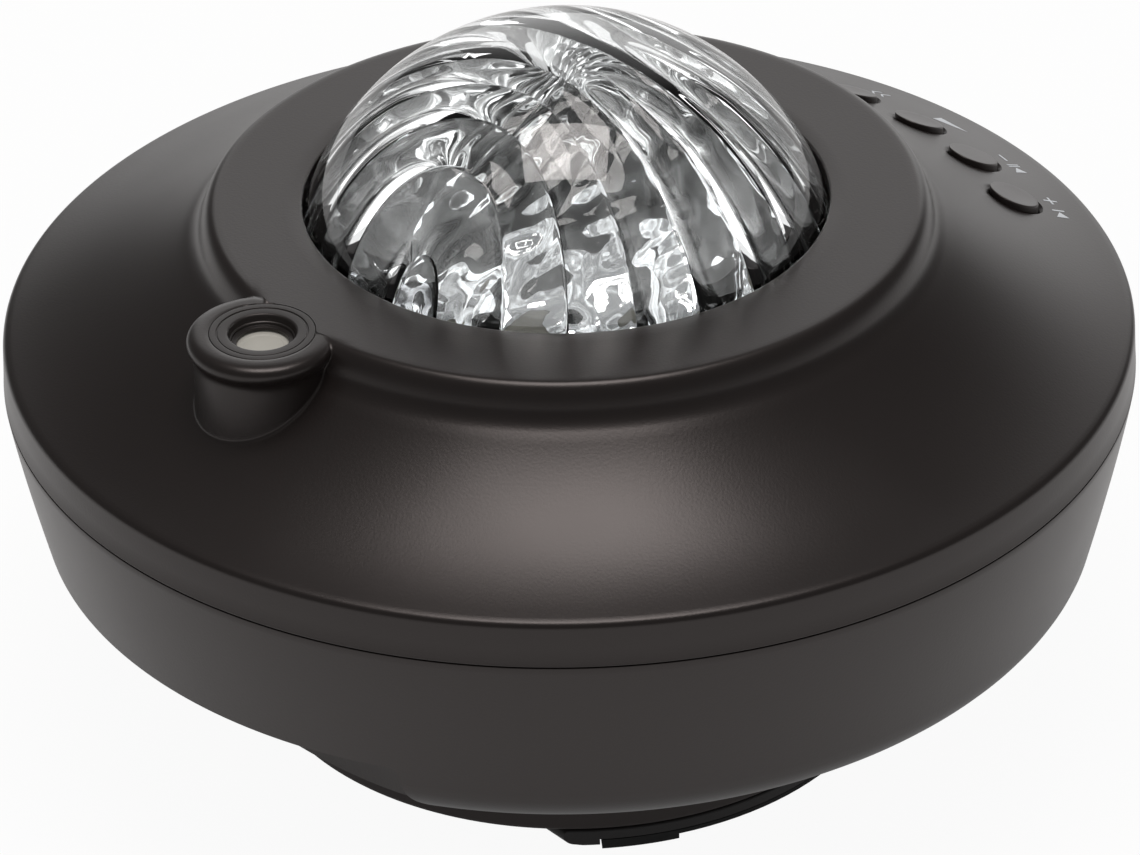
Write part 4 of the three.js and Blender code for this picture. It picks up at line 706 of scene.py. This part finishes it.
def makeCaseBottom(sizes):
    bowl, wall, front = bowlOutline(sizes), sizes["wall"], sizes["cutFront"]
    inner = offset(bowl, wall)[::-1]
    inner = inner[(inner[:, 0] < sizes["insideTo"]) & (inner[:, 1] > sizes["insideFrom"])]
    outline = np.vstack([bezier(*sizes["upperEdge"], 2), bowl[1:], sizes["mouth"], inner, sizes["tongue"]])
    piece = makePiece("caseBottom", *lathe(outline, sizes["sides"]), looks["shellFinish"])
    half, face, top = sizes["recessHalf"], sizes["recessFace"], sizes["recessTop"]
    walls = makePiece("walls", *box(-half - wall, half + wall, sizes["wallsFront"], face + wall,
                                    sizes["wallsFoot"], top + wall))
    within = offset(bowl, sizes["wallsInset"])
    carve(walls, [lathe([(0, within[0, 1]), *within, (0, within[-1, 1])], 180, closed=False)], "INTERSECT")
    combine(piece, [walls], "UNION")
    through = face + wall + 1
    rounding = sizes["recessRounding"]
    opening = rounded([(-half, 0, 0), (half, 0, 0), (half, top, rounding), (-half, top, rounding)], 6)
    jack = disc(sizes["jackHole"], 64, sizes["jackX"], sizes["socketHeight"])
    w, h, x, z = sizes["slotWidth"] / 2, sizes["slotHeight"] / 2, sizes["slotX"], sizes["socketHeight"]
    corners = ((x - w, z - h), (x + w, z - h), (x + w, z + h), (x - w, z + h))
    slot = rounded([(*corner, sizes["slotRounding"]) for corner in corners], 4)
    tools = []
    for shape, depth in ((opening, face), (jack, through), (slot, through)):
        points, faces = extrude(shape, front, depth)
        tools.append((alongY(points), faces))
    for angle in (45, 135, 225, 315):
        hole = disc(sizes["screwHole"], 40, *onCircle(sizes["screwCircle"], angle))
        tools.append(extrude(hole, 10, sizes["screwSeat"]))
    carve(piece, tools, sharp=35)
    return hand(piece, "body", "shell", "lower_shell")


caseBottomPiece = makeCaseBottom(caseBottom)
print("lower casing ready:", len(caseBottomPiece.data.polygons), "faces")

# Clear dome, turning lens and bright cup

dome = {
    "radius": 39.75, "creaseRadius": 38.6, "centre": 70.15, "flange": 43.0, "flangeTop": 78.5,
    "flangeBottom": 76.5, "flutes": 12, "fluteDepth": 1.0, "fluteLean": 0.18, "firstFlute": 0.4,
    "pairedFrom": 0.55, "pairedOver": 0.3, "topFade": 0.75, "widen": 1.02, "facing": -76.0,
    "archPower": 4.0, "rowPower": 1.8, "bands": 360, "rows": 110,
}


def makeDome(sizes):
    # smooth outside; inside, nested arches of rounded flutes that face the boss
    band, row = np.meshgrid(np.linspace(0, math.pi, sizes["bands"] + 1),
                            np.linspace(-1, 1, sizes["rows"] + 1))
    top = (1 - abs(np.cos(band))) ** (1 / sizes["archPower"])
    rise = top * (1 - abs(row) ** sizes["rowPower"])
    level = np.maximum(1 - rise ** sizes["archPower"], 1e-9)
    side = np.where(row < 0, -1, 1) * np.arccos(np.clip(np.cos(band) / level, -1, 1))
    turn = math.radians(sizes["facing"]) + side
    count = band * sizes["flutes"] / math.pi - sizes["firstFlute"]

    def flute(across):
        return sizes["fluteDepth"] * 4 * across * (1 - across) + sizes["fluteLean"] * across

    # higher up, pairs of flutes run together
    paired = np.clip((rise - sizes["pairedFrom"]) / sizes["pairedOver"], 0, 1) * (count > 2)
    swell = (1 - paired) * flute(count % 1) + paired * flute(count / 2 % 1)
    swell = swell * np.minimum(rise * 10, 1) * (1 - sizes["topFade"] * rise ** 2)

    def ring(flat, turn, height):
        return np.stack([flat * np.cos(turn), flat * np.sin(turn), height + 0 * turn], -1)

    def shell(radius, rim):
        lift = np.arcsin((rim - sizes["centre"]) / radius)
        angle = lift + (math.pi / 2 - lift) * rise
        return ring(radius * sizes["widen"] * np.cos(angle), turn, sizes["centre"] + radius * np.sin(angle))

    def flange(end, height):
        return ring(sizes["flange"], turn[end], height)[None]

    high, low = sizes["flangeTop"], sizes["flangeBottom"]
    grid = np.concatenate([
        shell(sizes["radius"] + 0 * rise, high), flange(-1, high), flange(-1, low),
        shell(sizes["creaseRadius"] - swell, low)[::-1], flange(0, low), flange(0, high),
    ])
    loops, columns = grid.shape[:2]
    faces = []
    for loop in range(loops):
        here, above = loop * columns, (loop + 1) % loops * columns
        faces += [[here + i, here + i + 1, above + i + 1, above + i] for i in range(columns - 1)]
    piece = makePiece("clearDome", grid.reshape(-1, 3), faces, looks["domeFinish"])
    closeUp(piece)
    return hand(piece, "body", "clear_dome", "dome")


makeDome(dome)


def rippleTree():
    # a grid bent into a pleated cap: its first rows climb the outside, the rest come down the inside
    tree, given = startTree("pleatedCap", [
        ("Radius", "Float", 0.0342), ("Wall", "Float", 0.0015), ("Centre", "Float", 0.07015),
        ("Lift", "Float", 0.02), ("Pleats", "Int", 24), ("Pleat Depth", "Float", 0.001),
        ("Twist", "Float", 1.0), ("Wave Depth", "Float", 0.001), ("Wave Size", "Float", 0.01),
        ("Columns", "Int", 384), ("Rows", "Int", 60), ("Material", "Material", None),
    ])
    do = partial(maths, tree)
    rows, bothSides = given["Rows"], do("MULTIPLY", given["Rows"], 2)
    grid = add(tree, "GeometryNodeMeshGrid", {
        "Vertices X": do("ADD", given["Columns"], 1), "Vertices Y": do("ADD", bothSides, 3)})
    place = add(tree, "ShaderNodeSeparateXYZ", {"Vector": add(tree, "GeometryNodeInputPosition").outputs[0]})
    turn = do("MULTIPLY", do("ADD", place.outputs["X"], 0.5), 2 * math.pi)
    row = do("ROUND", do("MULTIPLY", do("ADD", place.outputs["Y"], 0.5), do("ADD", bothSides, 2)))
    back = do("SUBTRACT", do("ADD", bothSides, 1), row)
    inside = do("MULTIPLY", do("GREATER_THAN", row, rows), do("GREATER_THAN", back, -0.5))
    climb = do("ADD", do("MULTIPLY", do("SUBTRACT", 1, inside), row), do("MULTIPLY", inside, back))
    over = do("GREATER_THAN", row, do("ADD", bothSides, 1.5))
    rise = do("DIVIDE", do("MULTIPLY", climb, do("SUBTRACT", 1, over)), rows)
    angle = do("ADD", given["Lift"], do("MULTIPLY", rise, do("SUBTRACT", math.pi / 2, given["Lift"])))
    sine, cosine = do("SINE", angle), do("COSINE", angle)
    wave = do("ABSOLUTE", do("COSINE", do("DIVIDE", do("MULTIPLY", turn, given["Pleats"]), 2)))
    fromRim = do("MINIMUM", do("MULTIPLY", rise, 12), 1)
    fade = do("POWER", do("MULTIPLY", do("SUBTRACT", 1, rise), fromRim), 0.6)
    swell = do("MULTIPLY", do("MULTIPLY", wave, fade), given["Pleat Depth"])
    swell = do("MULTIPLY", swell, do("SUBTRACT", 1, do("MULTIPLY", inside, 0.6)))
    # the inner side is uneven like rippled water
    wayX, wayY = do("MULTIPLY", do("COSINE", turn), cosine), do("MULTIPLY", do("SINE", turn), cosine)
    water = add(tree, "ShaderNodeTexNoise", {
        "Detail": 1.0, "Vector": vector(tree, wayX, wayY, sine),
        "Scale": do("DIVIDE", given["Radius"], given["Wave Size"])})
    wavy = do("MULTIPLY", do("SUBTRACT", water.outputs["Fac"], 0.5), given["Wave Depth"])
    thick = do("ADD", given["Wall"], do("MULTIPLY", wavy, fromRim))
    radius = do("SUBTRACT", do("ADD", given["Radius"], swell), do("MULTIPLY", inside, thick))
    swirl = do("ADD", turn, do("MULTIPLY", given["Twist"], do("POWER", rise, 2.2)))
    flat = do("MULTIPLY", radius, cosine)
    x, y = do("MULTIPLY", flat, do("COSINE", swirl)), do("MULTIPLY", flat, do("SINE", swirl))
    z = do("ADD", given["Centre"], do("MULTIPLY", radius, sine))
    shape = add(tree, "GeometryNodeSetPosition", {
        "Geometry": grid.outputs["Mesh"], "Position": vector(tree, x, y, z)})
    weld = add(tree, "GeometryNodeMergeByDistance", {"Distance": 2e-6, "Geometry": shape.outputs["Geometry"]})
    endTree(tree, weld.outputs["Geometry"], given["Material"])
    return tree


ripple = {"Radius": 0.0342, "Wall": 0.0015, "Centre": 0.07015, "Lift": math.asin((71.0 - 70.15) / 34.2),
          "Pleats": 24, "Pleat Depth": 0.0006, "Twist": 0.9, "Wave Depth": 0.004, "Wave Size": 0.008,
          "Columns": 384, "Rows": 60, "Material": looks["lensFinish"]}
rippleCap = growPiece("rippleCap", rippleTree(), ripple, sharp=60)
hand(rippleCap, "lens", "clear_lens", "ripple_lens")
# teeth are (height over the pitch circle, share of the step from the tooth's middle)
skirt = {"teeth": 62, "module": 1.2, "low": 67.8, "high": 71.0,
         "tooth": ((-1.25, -0.29), (-0.6, -0.25), (0.9, -0.11), (0.9, 0.11), (-0.6, 0.25), (-1.25, 0.29)),
         "bore": [(0, 66.8), (35.1, 66.8), (35.1, 69.5), (31.2, 69.5), (31.2, 72.0), (0, 72.0)]}


def gearOutline(sizes):
    pitch, step = sizes["teeth"] * sizes["module"] / 2, 2 * math.pi / sizes["teeth"]
    outline = []
    for tooth in range(sizes["teeth"]):
        for height, share in sizes["tooth"]:
            radius, turn = pitch + height, tooth * step + share * step
            outline.append((radius * math.cos(turn), radius * math.sin(turn)))
    return outline


skirtShape = extrude(gearOutline(skirt), skirt["low"], skirt["high"])
skirtPiece = makePiece("lensSkirt", *skirtShape, looks["lensFinish"])
carve(skirtPiece, [lathe(skirt["bore"], 120, closed=False)])
hand(skirtPiece, "lens", "clear_lens", "ripple_lens")

cup = {"facets": 14, "rows": 4, "darkAbove": 62.0, "throat": 12.4, "bottom": 53.0, "mouth": 29.4, "top": 69.0,
       "wall": 1.2, "side": 30.6, "rim": 32.8, "rimBottom": 67.8, "bendShare": 0.62}


def makeCup(sizes):
    # flat facets inside, a plain wall outside
    bottom, top, rimBottom = sizes["bottom"], sizes["top"], sizes["rimBottom"]
    bend = (sizes["side"] * sizes["bendShare"], bottom)
    inner = bezier((sizes["throat"], bottom), bend, (sizes["mouth"], top), sizes["rows"])
    outer = offset(inner, sizes["wall"])
    outer = outer[(outer[:, 1] < rimBottom) & (outer[:, 1] > bottom)]
    rim = [(sizes["rim"], top), (sizes["rim"], rimBottom), (sizes["side"], rimBottom)]
    outline = np.vstack([inner, rim, outer[::-1], [(sizes["throat"] + sizes["wall"], bottom)]])
    piece = makePiece("reflectorCup", *lathe(outline, sizes["facets"]), looks["mirrorFinish"], sharp=3)
    piece.data.materials.append(looks["cupCollar"])
    for face in piece.data.polygons:
        face.material_index = int(face.center.z > sizes["darkAbove"] * mm)
    return hand(piece, "body", "reflector", "reflector_cup")


makeCup(cup)
print("dome, lens and cup ready")

# Bezel and frosted disc in the boss

bezel = {"radius": 7.62, "top": 83.9, "bottom": 75.3, "groove": 6.5, "grooveDepth": 0.16, "hole": 4.8,
         "ledge": 3.75, "ledgeTop": 82.3, "ledgeBottom": 81.8, "seat": 6.2, "sides": 96}
frosted = {"radius": 5.9, "bottom": 75.3, "top": 81.5, "dish": 0.1, "dishRadii": (3.1, 2.9), "edge": 0.3,
           "sides": 96}


def makeBezel(sizes):
    top, bottom, groove, hole = sizes["top"], sizes["bottom"], sizes["groove"], sizes["hole"]
    deep, ledge, under = top - sizes["grooveDepth"], sizes["ledge"], sizes["ledgeBottom"]
    outline = rounded([
        (sizes["radius"], bottom, 0), (sizes["radius"], top - 0.03, 0.12),
        (groove + 0.14, top - 0.03, 0.08), (groove + 0.07, deep, 0), (groove - 0.07, deep, 0),
        (groove - 0.14, top - 0.08, 0.08), (hole + 0.1, top - 0.1, 0.45), (hole - 0.15, top - 1.1, 0.1),
        (hole - 0.35, top - 1.2, 0.1), (hole - 0.4, sizes["ledgeTop"], 0.1), (ledge, sizes["ledgeTop"], 0.12),
        (ledge, under, 0), (sizes["seat"], under, 0), (sizes["seat"], bottom, 0),
    ], 5)
    points, faces = lathe(outline, sizes["sides"])
    piece = makePiece("bezelRing", moved(points, y=-boss["distance"]), faces, looks["bezelFinish"])
    return hand(piece, "body", "shell", "aperture_bezel")


def makeFrosted(sizes):
    radius, bottom, top, edge = sizes["radius"], sizes["bottom"], sizes["top"], sizes["edge"]
    outer, inner = sizes["dishRadii"]
    low = top - sizes["dish"]
    outline = rounded([(0, bottom, 0), (radius, bottom, edge), (radius, top, edge), (outer, top, 0.1),
                       (inner, low, 0.1), (0, low, 0)], 4, closed=False)
    points, faces = lathe(outline, sizes["sides"], closed=False)
    piece = makePiece("frostedDisc", moved(points, y=-boss["distance"]), faces, looks["frostedPanel"])
    return hand(piece, "body", "frosted", "aperture_lens")


makeBezel(bezel)
makeFrosted(frosted)

# Foot, stand and rubber feet

foot = {
    "radius": 48.3, "bottom": 4.0, "top": 11.7, "wall": 2.3, "floor": 6.4, "sides": 180,
    "screwCircle": 42.3, "screwAngles": (-90, 30, 150), "post": 3.6, "postFoot": 5.0, "headHole": 2.9,
    "headSeat": 8.3, "thread": 1.5, "lugNear": 22.4, "lugFar": 25.6, "lugFront": -33.1, "lugBack": -29.3,
    "lugLow": 0.9, "lugHigh": 5.6, "lugRounding": 1.4, "hinge": (-31.2, 2.5), "pinHole": 1.1,
    "grille": 19.0, "slots": 7, "slotWidth": 1.8, "pitch": 4.6,
}


def makeFoot(sizes):
    bottom, floor, top, radius = sizes["bottom"], sizes["floor"], sizes["top"], sizes["radius"]
    inner = radius - sizes["wall"]
    outline = rounded([(0, bottom, 0), (radius, bottom, 0.9), (radius, top, 0.3), (inner, top, 0.2),
                       (inner, floor, 0.4), (0, floor, 0)], 5, closed=False)
    piece = makePiece("footPlate", *lathe(outline, sizes["sides"], closed=False), looks["footFinish"])
    adds, cuts = [], []
    for angle in sizes["screwAngles"]:
        x, y = onCircle(sizes["screwCircle"], angle)
        adds.append(extrude(disc(sizes["post"], 32, x, y), sizes["postFoot"], top))
        cuts.append(extrude(disc(sizes["headHole"], 40, x, y), bottom - 1, sizes["headSeat"]))
        cuts.append(extrude(disc(sizes["thread"], 24, x, y), bottom - 1, top + 0.8))
    front, back, low, high = sizes["lugFront"], sizes["lugBack"], sizes["lugLow"], sizes["lugHigh"]
    for side in (-1, 1):
        left, right = sorted((side * sizes["lugNear"], side * sizes["lugFar"]))
        section = rounded([(front, low, sizes["lugRounding"]), (back, low, sizes["lugRounding"]),
                           (back, high, 0), (front, high, 0)], 6)
        adds.append(extrudeX(section, left, right))
        cuts.append(extrudeX(disc(sizes["pinHole"], 24, *sizes["hinge"]), left - 1, right + 1))
    carve(piece, adds, "UNION")
    carve(piece, cuts)
    slots = growPiece("slots", slotTree(), {
        "Count": sizes["slots"], "Pitch": sizes["pitch"] * mm, "Width": sizes["slotWidth"] * mm,
        "Reach": sizes["grille"] * mm, "Material": looks["footFinish"]})
    combine(piece, [slots], "DIFFERENCE")
    smooth(piece, 32)
    return hand(piece, "body", "foot", "base_plate")


def slotTree():
    # bars side by side, each as long as the round grille is wide there
    tree, given = startTree("grilleSlots", [
        ("Count", "Int", 7), ("Pitch", "Float", 0.0046), ("Width", "Float", 0.0018),
        ("Reach", "Float", 0.019), ("Height", "Float", 0.005), ("Depth", "Float", 0.008),
        ("Material", "Material", None),
    ])
    do = partial(maths, tree)
    number = add(tree, "GeometryNodeInputIndex").outputs[0]
    middle = do("DIVIDE", do("SUBTRACT", given["Count"], 1), 2)
    aside = do("MULTIPLY", do("SUBTRACT", number, middle), given["Pitch"])
    half = do("SQRT", do("SUBTRACT", do("POWER", given["Reach"], 2), do("MULTIPLY", aside, aside)))
    spots = add(tree, "GeometryNodeMeshLine", {"Count": given["Count"]})
    shift = add(tree, "GeometryNodeSetPosition", {
        "Geometry": spots.outputs["Mesh"], "Position": vector(tree, 0, aside, given["Height"])})
    bar = add(tree, "GeometryNodeMeshCube", {"Size": vector(tree, 1, 1, given["Depth"])})
    copies = add(tree, "GeometryNodeInstanceOnPoints", {
        "Points": shift.outputs["Geometry"], "Instance": bar.outputs["Mesh"],
        "Scale": vector(tree, do("MULTIPLY", half, 2), given["Width"], 1)})
    endTree(tree, copies.outputs["Instances"], given["Material"])
    return tree


makeFoot(foot)

stand = {
    "outer": 47.8, "inner": 40.8, "low": 0.9, "high": 3.7, "edge": 0.5, "outerEdges": (0.35, 0.6),
    "sides": 240, "hinge": (-31.2, 2.5), "barrel": 1.3, "taper": 1.4, "gapHalf": 25.9, "gapBehind": 2.2,
    "pin": 0.8, "pinNear": 22.4, "pinFar": 28.2, "grooveInner": 42.7, "grooveOuter": 49.0,
    "grooveTop": 2.0, "grooveEnd": 36.4,
}


def makeStand(sizes):
    low, high, barrel = sizes["low"], sizes["high"], sizes["barrel"]
    tip, pinHeight = sizes["hinge"]
    lowEdge, highEdge = sizes["outerEdges"]
    ring = rounded([(sizes["inner"], low, sizes["edge"]), (sizes["outer"], low, lowEdge),
                    (sizes["outer"], high, highEdge), (sizes["inner"], high, sizes["edge"])], 5)
    piece = makePiece("standLeg", *lathe(ring, sizes["sides"]), looks["standFinish"])
    # seen from the side the leg ends in a barrel round the pin
    over = sizes["outer"] + 2.2
    side = [(over, -1), (over, 6), (tip + 0.4, 6)]
    for angle in np.linspace(80, 270, 15):
        across, up = onCircle(barrel, angle)
        side.append((tip + across, pinHeight + up))
    side += [(tip + sizes["taper"], low), (tip + sizes["taper"] + 1, -1)]
    carve(piece, [extrudeX(side, -over - 2, over + 2)], "INTERSECT")
    carve(piece, [box(-sizes["gapHalf"], sizes["gapHalf"], -over, tip + sizes["gapBehind"], -1, 5)])
    pins = []
    for sign in (-1, 1):
        left, right = sorted((sign * sizes["pinNear"], sign * sizes["pinFar"]))
        pins.append(extrudeX(disc(sizes["pin"], 32, tip, pinHeight), left, right))
    carve(piece, pins, "UNION")
    # groove for the rubber strip
    start, end = -sizes["grooveEnd"], 180 + sizes["grooveEnd"]
    outline = [onCircle(sizes["grooveOuter"], a) for a in np.linspace(start, end, 90)]
    outline += [onCircle(sizes["grooveInner"], a) for a in np.linspace(end, start, 90)]
    carve(piece, [extrude(outline, -1, sizes["grooveTop"])])
    return hand(piece, "stand", "stand", "kickstand")


makeStand(stand)


def ringTree():
    # copies of one piece, turned round the object's axis
    tree, given = startTree("aroundTheAxis", [
        ("Piece", "Object", None), ("Count", "Int", 4), ("First Angle", "Float", 0.0),
        ("Step Angle", "Float", 90.0), ("Material", "Material", None),
    ])
    do = partial(maths, tree)
    number = add(tree, "GeometryNodeInputIndex").outputs[0]
    angle = do("RADIANS", do("ADD", given["First Angle"], do("MULTIPLY", number, given["Step Angle"])))
    spots = add(tree, "GeometryNodePoints", {"Count": given["Count"]})
    source = add(tree, "GeometryNodeObjectInfo", {"Object": given["Piece"]})
    copies = add(tree, "GeometryNodeInstanceOnPoints", {
        "Points": spots.outputs[0], "Instance": source.outputs["Geometry"],
        "Rotation": vector(tree, z=angle)})
    endTree(tree, copies.outputs["Instances"], given["Material"])
    return tree


aroundTheAxis = ringTree()


def around(name, shape, count, first, step, look):
    model = makePiece("model", *shape)
    piece = growPiece(name, aroundTheAxis, {"Piece": model, "Count": count, "First Angle": float(first),
                                            "Step Angle": float(step), "Material": looks[look]})
    bpy.data.objects.remove(model)
    return piece


pads = {"count": 5, "first": -29.0, "step": 59.5, "half": 7.0, "inner": 43.0, "outer": 47.6, "top": 1.7,
        "edge": 0.4, "stripHalf": 126, "stripLow": 0.92, "stripInset": 0.05, "stripEdge": 0.1}


def arcPad(inner, outer, half, low, high, steps, rounding):
    # a block bent round the axis, its lower edges rounded
    section = rounded([(inner, high, 0), (inner, low, rounding), (outer, low, rounding), (outer, high, 0)], 4)
    flat, up = section.T
    turns = np.radians(np.linspace(-half, half, steps))
    rows = [np.column_stack([flat * math.cos(turn), flat * math.sin(turn), up]) for turn in turns]
    count = len(section)
    faces = [list(range(count)), [i + (steps - 1) * count for i in range(count)][::-1]]
    for row in range(steps - 1):
        for i in range(count):
            j = (i + 1) % count
            faces.append([row * count + i, row * count + j, (row + 1) * count + j, (row + 1) * count + i])
    return np.vstack(rows), faces


def makePads(sizes):
    inner, outer, top, inset = sizes["inner"], sizes["outer"], sizes["top"], sizes["stripInset"]
    pad = arcPad(inner, outer, sizes["half"], 0, top, 13, sizes["edge"])
    piece = around("rubberFeet", pad, sizes["count"], sizes["first"], sizes["step"], "padRubber")
    points, faces = arcPad(inner + inset, outer - inset, sizes["stripHalf"], sizes["stripLow"], top - inset,
                           90, sizes["stripEdge"])
    joinInto(piece, makePiece("rubberStrip", moved(points, turn=90), faces, looks["padRubber"]))
    return hand(piece, "stand", "pads", "kickstand_pads")


makePads(pads)
print("foot and stand ready")

# Screws seen from below

screws = {"head": 2.6, "headHeight": 1.9, "shank": 1.2, "sides": 32, "slot": 0.75, "slotHalf": 1.55,
          "slotDepth": 1.0}
shellScrews = {"count": 4, "first": 45, "circle": 70.5, "seat": 48.7, "length": 13.0}
footScrews = {"count": 3, "first": -90, "circle": 42.3, "seat": 8.0, "length": 8.2}


def screwShape(sizes, x, seat, length):
    # a pan head that faces down, with a cross recess
    head, shank, low, end = sizes["head"], sizes["shank"], seat - sizes["headHeight"], seat + length
    outline = rounded([(0, low, 0), (head, low, 0.7), (head, seat, 0.1), (shank, seat, 0.1),
                       (shank, end, 0.3), (0, end, 0)], 4, closed=False)
    piece = makePiece("screw", *lathe(outline, sizes["sides"], closed=False))
    deep, half, wide = low + sizes["slotDepth"], sizes["slot"] / 2, sizes["slotHalf"]
    carve(piece, [box(-wide, wide, -half, half, low - 1, deep), box(-half, half, -wide, wide, low - 1, deep)])
    points = np.array([tuple(v.co) for v in piece.data.vertices]) / mm
    faces = [list(face.vertices) for face in piece.data.polygons]
    bpy.data.objects.remove(piece)
    return moved(points, x=x), faces


def makeScrews(name, nodes, sizes):
    shape = screwShape(screws, sizes["circle"], sizes["seat"], sizes["length"])
    piece = around(name, shape, sizes["count"], sizes["first"], 360 / sizes["count"], "steelFinish")
    return hand(piece, "body", "screws", *[nodes + str(n + 1) for n in range(sizes["count"])])


makeScrews("shellScrews", "shell_screw_", shellScrews)
makeScrews("footScrews", "base_screw_", footScrews)
print("screws ready")

# Floor, light and white surroundings

studio = {
    "floorHalf": 4.0, "floorHeight": -0.06, "floorShade": 0.82, "floorShare": 0.94, "floorGloss": 0.22,
    "worldDiffuse": 0.55, "backdropTurn": 132.0, "backdropSides": (0.87, 0.96),
    "backdropRise": (0.35, 0.8), "mirrorBackdrop": 1.5, "mirrorRest": 0.14, "glassHorizon": 2.0,
    "glassCeiling": 0.3, "glassRise": (0.45, 0.8),
}
topBox = {"azimuth": 50, "elevation": 86, "distance": 1.1, "width": 0.6, "height": 0.5, "power": 6,
          "colour": (1, 0.95, 0.93), "aimHeight": 0.06}


def makeFloor(settings):
    half, height = settings["floorHalf"] / mm, settings["floorHeight"]
    corners = [(-half, -half, height), (half, -half, height), (half, half, height), (-half, half, height)]
    floor = makePiece("floor", corners, [[0, 1, 2, 3]], turnOut=False)
    material = bpy.data.materials.new("floorWhite")
    material.use_nodes = True
    tree = material.node_tree
    do = partial(maths, tree)
    shader = fill(tree, tree.nodes["Principled BSDF"], {
        "Base Color": (*[settings["floorShade"]] * 3, 1), "Roughness": 0.9, "Specular IOR Level": 0.1})
    glow = add(tree, "ShaderNodeEmission", {"Color": (1, 1, 1, 1)})
    path = add(tree, "ShaderNodeLightPath")
    # plain white behind the object and through its clear parts, with the shadow left in
    behind = do("MULTIPLY", do("MAXIMUM", path.outputs["Is Camera Ray"], path.outputs["Is Transmission Ray"]),
                settings["floorShare"])
    seen = do("MAXIMUM", behind, do("MULTIPLY", path.outputs["Is Glossy Ray"], settings["floorGloss"]))
    mix = add(tree, "ShaderNodeMixShader", {"Fac": seen})
    tree.links.new(shader.outputs[0], mix.inputs[1])
    tree.links.new(glow.outputs[0], mix.inputs[2])
    tree.links.new(mix.outputs[0], tree.nodes["Material Output"].inputs["Surface"])
    floor.data.materials.append(material)


def makeWorld(settings):
    world = bpy.data.worlds.new("studio")
    bpy.context.scene.world = world
    world.use_nodes = True
    tree = world.node_tree
    do = partial(maths, tree)
    path = add(tree, "ShaderNodeLightPath")
    way = add(tree, "ShaderNodeTexCoord").outputs["Generated"]
    x, y, z = add(tree, "ShaderNodeSeparateXYZ", {"Vector": way}).outputs
    # shiny surfaces see a pale backdrop on one side, clear ones a pale horizon all round
    backX, backY = onCircle(1, settings["backdropTurn"])
    towards = do("ADD", do("MULTIPLY", x, backX), do("MULTIPLY", y, backY))
    level = do("SQRT", do("MAXIMUM", do("SUBTRACT", 1, do("MULTIPLY", z, z)), 0.01))
    sideways = spread(tree, do("DIVIDE", towards, level), 0, 1, *settings["backdropSides"])
    upwards = spread(tree, z, 1, 0, *settings["backdropRise"])
    backdrop = do("MULTIPLY", sideways, upwards)
    mirrorSky = spread(tree, backdrop, settings["mirrorRest"], settings["mirrorBackdrop"], 0, 1)
    glassSky = spread(tree, z, settings["glassHorizon"], settings["glassCeiling"], *settings["glassRise"])
    strength = settings["worldDiffuse"]
    skies = (("Is Glossy Ray", mirrorSky), ("Is Transmission Ray", glassSky), ("Is Camera Ray", 1.0))
    for kind, sky in skies:
        choice = add(tree, "ShaderNodeMix", {"Factor": path.outputs[kind], "A": strength, "B": sky})
        strength = choice.outputs["Result"]
    fill(tree, tree.nodes["Background"], {"Color": (1, 1, 1, 1), "Strength": strength})


def makeLamp(name, settings):
    data = bpy.data.lights.new(name, "AREA")
    data.shape = "RECTANGLE"
    data.size, data.size_y, data.energy = settings["width"], settings["height"], settings["power"]
    data.color = settings["colour"]
    lamp = bpy.data.objects.new(name, data)
    bpy.context.scene.collection.objects.link(lamp)
    away = awayFrom(settings["azimuth"], settings["elevation"])
    lamp.location = away * settings["distance"] + Vector((0, 0, settings["aimHeight"]))
    lamp.rotation_mode = "QUATERNION"
    lamp.rotation_quaternion = (-away).to_track_quat("-Z", "Y")


makeFloor(studio)
makeWorld(studio)
makeLamp("topBox", topBox)
print("stage ready")
